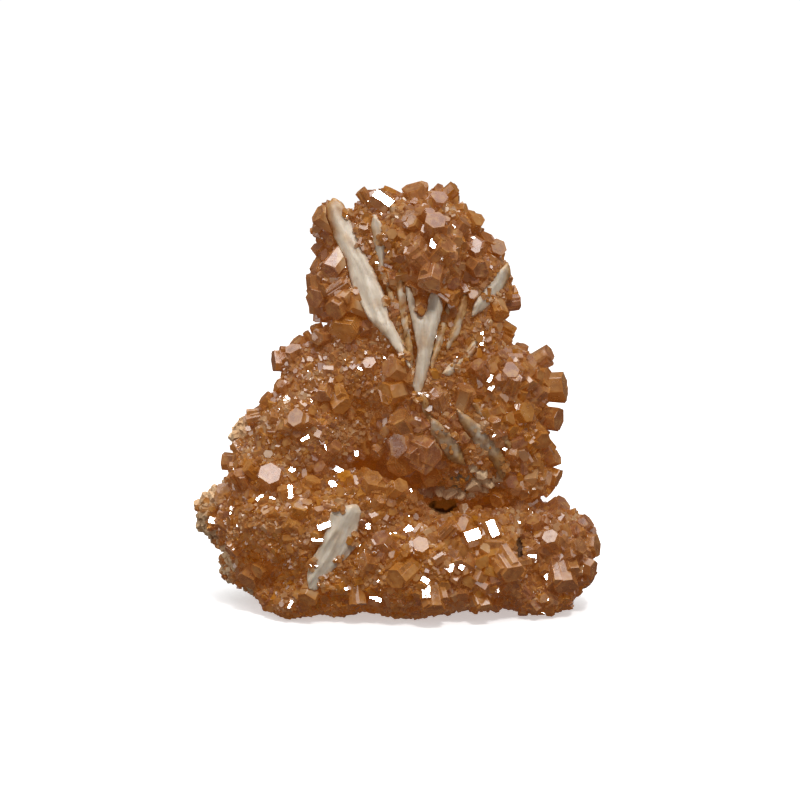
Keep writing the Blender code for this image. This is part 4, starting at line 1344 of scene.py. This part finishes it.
def ground_piece(surface, slots, look, where):
    """The ground between the crystals, finer than the model's, and sunk where a blade stands out of it."""
    shape = finer(surface, "crust_ground", where)
    moves = []
    for vertex in shape.verts:
        rise = noise.fractal(vertex.co / (1.1 * MM), 0.7, 2.2, 3) * 0.16 * MM
        cell = noise.voronoi(vertex.co / (1.5 * MM))[0]
        moves.append(vertex.normal * (rise + (0.45 - cell[0]) * 0.30 * MM))
    for vertex, move in zip(shape.verts, moves):
        vertex.co += move
        for pit_middle, reaches, deep in PITS:
            share = within(vertex.co, pit_middle, reaches)
            if share < 1.0:
                vertex.co += SIGHT * deep * MM * (1.0 - share**2)
        for tree, (depth, by_x, by_z), way in slots:
            if inside(tree, vertex.co, 0.0):
                gap = depth + by_x * vertex.co.x + by_z * vertex.co.z - vertex.co.y
                reach = gap / (way.y - by_x * way.x - by_z * way.z)
                vertex.co += way * max(0.0, reach + SUNK_BELOW_BLADES)
        vertex.co.z = max(vertex.co.z, 0.0)
    mesh = mesh_of(shape, "crust_ground")
    mesh.attributes.new("own", "FLOAT_COLOR", "POINT")
    colours = np.zeros((len(mesh.vertices), 4))
    for index, vertex in enumerate(mesh.vertices):
        grey = clamped((1.05 - within(vertex.co, *BARE)) * 3.0)
        pale = clamped((noise.noise(vertex.co / (3.2 * MM)) - 0.25) * 5.0)
        # Painted shade: the ground is darkened towards the middle of the pits that are painted with shade.
        deep = max(1.0 - within(vertex.co, middle, reaches) for middle, reaches, _ in SHADE_PAINTED_PITS)
        colours[index] = (grey, pale * 0.6, clamped(deep * 1.8), 1.0)
    fill(mesh, "own", "color", colours)
    mesh.shade_smooth()
    return finished(add(mesh, "crust_ground", where), look)


def rock_piece(surface, look, where):
    """The rock with a broken, chipped surface."""
    shape = finer(surface, "rock_broken", where)
    moves = []
    for vertex in shape.verts:
        rise = noise.fractal(vertex.co / (1.6 * MM), 0.6, 2.1, 5) * 0.22 * MM
        chip = noise.voronoi(vertex.co / (2.6 * MM))[0]
        moves.append(vertex.normal * (rise + min(0.0, chip[1] - chip[0] - 0.25) * 0.9 * MM))
    for vertex, move in zip(shape.verts, moves):
        vertex.co += move
        vertex.co.z = max(vertex.co.z, 0.0)
    mesh = mesh_of(shape, "rock_broken")
    mesh.shade_smooth()
    return finished(add(mesh, "rock_broken", where), look, "rock_foot")


def edge_distance(point, corners, way):
    """How far inside the edges of an outline a point is, seen along the way."""
    best = 1.0
    for first, second in zip(corners, corners[1:] + corners[:1]):
        side = second - first
        side = side - way * side.dot(way)
        local = point - first
        local = local - way * local.dot(way)
        share = clamped(local.dot(side) / side.length_squared)
        best = min(best, (local - side * share).length)
    return best


def blade_piece(name, points, way, out, into, look, where, coated, replaced=""):
    """A natural barite blade: crowned, streaked along its length and chipped along its edges."""
    shape = evened(slab(points, way, out, into), name, where, BLADE_VOXEL, BLADE_ROUNDS)
    middle = sum(points, Vector()) / len(points)
    spread = np.array([point - middle for point in points])
    along = Vector(np.linalg.svd(spread)[2][0]).normalized()
    across = way.cross(along).normalized()
    moves = []
    for vertex in shape.verts:
        local = vertex.co - middle
        u, v = local.dot(along), local.dot(across)
        face_on = max(0.0, vertex.normal.dot(-way))
        streak = noise.noise(Vector((u / (7.0 * MM), v / (0.75 * MM), 0.3)))
        swell = noise.noise(Vector((u / (4.0 * MM), v / (2.6 * MM), 7.1)))
        chip = noise.fractal(vertex.co / (1.1 * MM), 0.8, 2.1, 3)
        crown = min(1.0, edge_distance(vertex.co, points, way) / (1.0 * MM))
        ridge = abs(noise.noise(Vector((u / (9.0 * MM), v / (1.6 * MM), 3.7))))
        lift = face_on * (streak * 0.10 + swell * 0.22 + crown * 0.30 + (0.25 - ridge) * 0.9 - 0.20) * MM
        moves.append(-way * lift + vertex.normal * chip * (0.04 + 0.14 * (1.0 - face_on)) * MM)
    for vertex, move in zip(shape.verts, moves):
        vertex.co += move
    mesh = mesh_of(shape, name)
    mesh.attributes.new("place", "FLOAT_VECTOR", "POINT")
    mesh.attributes.new("own", "FLOAT_COLOR", "POINT")
    values = np.zeros((len(mesh.vertices), 3))
    colours = np.zeros((len(mesh.vertices), 4))
    for index, vertex in enumerate(mesh.vertices):
        local = vertex.co - middle
        u, v, w = local.dot(along), local.dot(across), -local.dot(way)
        values[index] = (u, v, w)
        stain = max(0.0, noise.noise(vertex.co / (2.8 * MM)) - 0.15) * 1.2
        side = clamped((0.2 * MM - w) / (1.2 * MM))
        edge = 1.0 - min(1.0, edge_distance(vertex.co, points, way) / (0.7 * MM))
        coat = coated * clamped(0.9 + noise.noise(vertex.co / (1.2 * MM)) * 1.5)
        colours[index] = (min(1.0, stain + side * 0.8 + edge * 0.30 + coat), side * 0.15, 0.0, 1.0)
    fill(mesh, "place", "vector", values)
    fill(mesh, "own", "color", colours)
    mesh.shade_smooth()
    return finished(add(mesh, name + "_natural", where), look, replaced or name)


def barite_pieces(tree, slot_group, where):
    """The blades and ribs. Gives the room before each blade, the space it keeps clear, and its plane."""
    look = barite_look()
    slots, clear, planes = [], [], {}
    for table, line_of, way, unit in (
        (FRONT_BLADES, sight_line, SIGHT, PIXEL),
        (BACK_BLADES, back_line, Vector((0.0, -1.0, 0.0)), MM),
    ):
        for name, (outline, into, out) in table.items():
            plane = plane_under(tree, [line_of(*point) for point in outline])
            points = laid_on(plane, line_of, outline)
            roomy = laid_on(plane, line_of, widened(outline, BLADE_ROOM / unit))
            tight = laid_on(plane, line_of, widened(outline, -BLADE_COVERED / unit))
            slot = slab(roomy, way, SLOT_REACH, into * MM)
            clear.append(tree_of(slab(tight, way, SLOT_REACH, into * MM)))
            slots.append((tree_of(slot), plane, way))
            add(slot, name + "_slot", slot_group)
            raised = out * MM + BLADE_RAISE
            planes[name] = (plane, raised)
            coated = BLADE_COATS.get(name, 0.0)
            blade_piece(name, points, way, raised, into * MM, look, where, coated)
    for name, (outline, into, out) in RIBS.items():
        plane = plane_under(tree, [sight_line(*point) for point in outline])
        points = laid_on(plane, sight_line, outline)
        blade_piece(name, points, SIGHT, out * MM, into * MM, look, where, RIB_COAT, "vanadinite_crust")
    return slots, clear, planes


def prism_places(tree, surface):
    """The large prisms: those at the front that no bright one stands for, then the strewn ones."""
    bright = [row[:2] for row in GLINTS if row[2] >= BRIGHT_FROM]
    places = [
        place
        for place, (across, down, *_) in zip(front_prisms(tree), FRONT_PRISMS)
        if not any(math.hypot(across - right, down - low) < BRIGHT_NEAR for right, low in bright)
    ]
    taken = [(base + axis * length / 2.0, width) for base, axis, width, length, _ in places]
    others = [tree_of(frame["nodes"][name].data) for name in frame["nodes"] if name != "vanadinite_crust"]
    places += random_prisms(surface, taken, others)
    return [row for row in places if within(row[0] + row[1] * row[3], *BARE) > 0.75]


def large_pieces(places, slots, slot_group, look, where):
    """The large prisms, with those that reach in front of a blade cut back."""
    large = large_crystals(places)
    free, beside = [], []
    for row in large.rows:
        base, turn, width, length = row[:4]
        reaches = [base + turn @ Vector((0.0, 0.0, length - width * step)) for step in (0.2, 0.7, 1.2)]
        touched = any(inside(slot[0], point, width * 0.6) for slot in slots for point in reaches)
        (beside if touched else free).append(row)
    large.rows = free
    large.piece("crystals_large", 5, look, where, blunt=True)
    finished(crystals_beside_blades(beside, slot_group, where), look)


def patch_of(base):
    """The patch of small crystals that a place belongs to."""
    if base.z > HEAD_FROM:
        return "head"
    if base.z < BASE_BELOW:
        return "base"
    return "slope" if base.x < SLOPE_LEFT_OF else "arm"


def paleness(base, width, pale_spots, chance):
    """How creamy a small crystal is, from 0 to 1."""
    pale = 0.0
    if chance.random() < 0.05:
        pale = chance.uniform(0.2, 0.8)
    patch = noise.noise(base / (5.5 * MM)) + 0.5 * noise.noise(base / (2.0 * MM))
    if patch > 0.02 and width < 1.3 * MM:
        pale = max(pale, min(0.80, (patch - 0.02) * 2.0 * chance.random()))
    for spot, reach in pale_spots:
        away = (base - spot).length / reach
        if away < 1.0 and chance.random() < 1.2 - away:
            pale = chance.uniform(0.35, 0.95)
    return pale


def small_pieces(tree, found, look, where):
    """The small prisms, as one piece for each patch."""
    pale_spots = [(meet(tree, *sight_line(x, y))[0], reach * PIXEL) for x, y, reach in PALE_PLACES]
    chance = random.Random(SEED + 6)
    patches = {name: Crystals() for name in ("head", "slope", "base", "arm")}
    for base, axis, width, length, spin in found:
        pale = paleness(base, width, pale_spots, chance)
        own = (chance.random(), warmth_at(base, chance), pale)
        patches[patch_of(base)].put(base, axis, width, length, spin, own, 0.0)
    for name, patch in patches.items():
        patch.piece(f"crystals_{name}", 7, look, where)


def aimed(data, name, place):
    """A lamp or camera at a place, turned to what is looked at."""
    obj = bpy.data.objects.new(name, data)
    bpy.context.scene.collection.objects.link(obj)
    obj.location = place
    obj.rotation_euler = (LOOKED_AT - Vector(place)).to_track_quat("-Z", "Y").to_euler()
    return obj


def floor_piece():
    """A pale floor that neither lights the piece nor shows in it."""
    shape = bmesh.new()
    bmesh.ops.create_grid(shape, x_segments=8, y_segments=8, size=FLOOR_HALF)
    floor = add(mesh_of(shape, "floor"), "floor", bpy.context.scene.collection)
    floor.data.materials.append(floor_look())
    floor.location.z = -FLOOR_DROP
    floor.visible_diffuse = False
    floor.visible_glossy = False


def light():
    """A white backdrop, a soft dome that is dimmer in reflections, and the soft boxes."""
    world = bpy.data.worlds.new("studio")
    world.use_nodes = True
    tree = world.node_tree
    background = tree.nodes["Background"]
    way = node(tree, "ShaderNodeTexCoord").outputs["Generated"]
    up = node(tree, "ShaderNodeSeparateXYZ", {"Vector": way}).outputs[2]
    background.inputs["Color"].default_value = (1.0, 1.0, 1.0, 1.0)
    dome = ranged(tree, up, -0.3, 0.9, *DOME)
    rays = node(tree, "ShaderNodeLightPath").outputs
    mirrored = computed(tree, "MULTIPLY", dome, MIRRORED_SHARE)
    inputs = {0: rays["Is Glossy Ray"], 2: dome, 3: mirrored}
    lit = node(tree, "ShaderNodeMix", inputs, data_type="FLOAT").outputs[0]
    inputs = {0: rays["Is Camera Ray"], 2: lit, 3: BACKDROP}
    strength = node(tree, "ShaderNodeMix", inputs, data_type="FLOAT").outputs[0]
    tree.links.new(strength, background.inputs["Strength"])
    bpy.context.scene.world = world
    for name, place, (wide, high), radiance in LIGHTS:
        lamp = bpy.data.lights.new(name, "AREA")
        lamp.shape = "RECTANGLE"
        lamp.size = wide
        lamp.size_y = high
        lamp.energy = radiance * math.pi * wide * high
        aimed(lamp, name, place)


def camera():
    lens = bpy.data.cameras.new("camera")
    lens.sensor_width = SENSOR
    lens.lens = lens.sensor_width * EYE_DISTANCE / (PICTURE_SIDE * PIXEL)
    bpy.context.scene.camera = aimed(lens, "camera", EYE)


def build():
    where = group("vanadinite_on_barite_looks")
    camera()
    floor_piece()
    light()
    rock_surface = blended(ROCK_LUMPS, "rock", ROCK_ROUGHNESS, where, ROCK_BREAKS)
    ground_surface = blended(GROUND_LUMPS | FOLD_LUMPS, "ground", GROUND_ROUGHNESS, where)
    tree = tree_of(ground_surface)
    rock_tree = tree_of(rock_surface)
    slot_group = group("slots")
    slots, clear, planes = barite_pieces(tree, slot_group, where)
    places = prism_places(tree, ground_surface)
    amber = vanadinite_look()
    large_pieces(places, slots, slot_group, amber, where)
    for obj in list(slot_group.objects):
        bpy.data.objects.remove(obj)
    bpy.data.collections.remove(slot_group)
    on_ground = [(base + axis * BURIED, width) for base, axis, width, _, _ in places]
    glint_crystals(tree).piece("crystals_bright", 9, amber, where, blunt=True)
    small_pieces(tree, small_crystals(ground_surface, on_ground, clear, rock_tree), amber, where)
    ground_piece(ground_surface, slots, druse_look(), where)
    crystals_on_blades(planes).piece("crystals_on_blades", 16, amber, where)
    stone = rock_look()
    rock_piece(rock_surface, stone, where)
    grit, grown = rock_grains(rock_surface, tree)
    grit.piece("rock_grit", 13, stone, where, "rock_foot", "rock")
    grown.piece("crystals_on_rock", 14, amber, where, "rock_foot")
    finished(add(rock_bits(tree), "rock_in_hollow", where), stone)


build()
bpy.context.scene.view_settings.view_transform = "Standard"
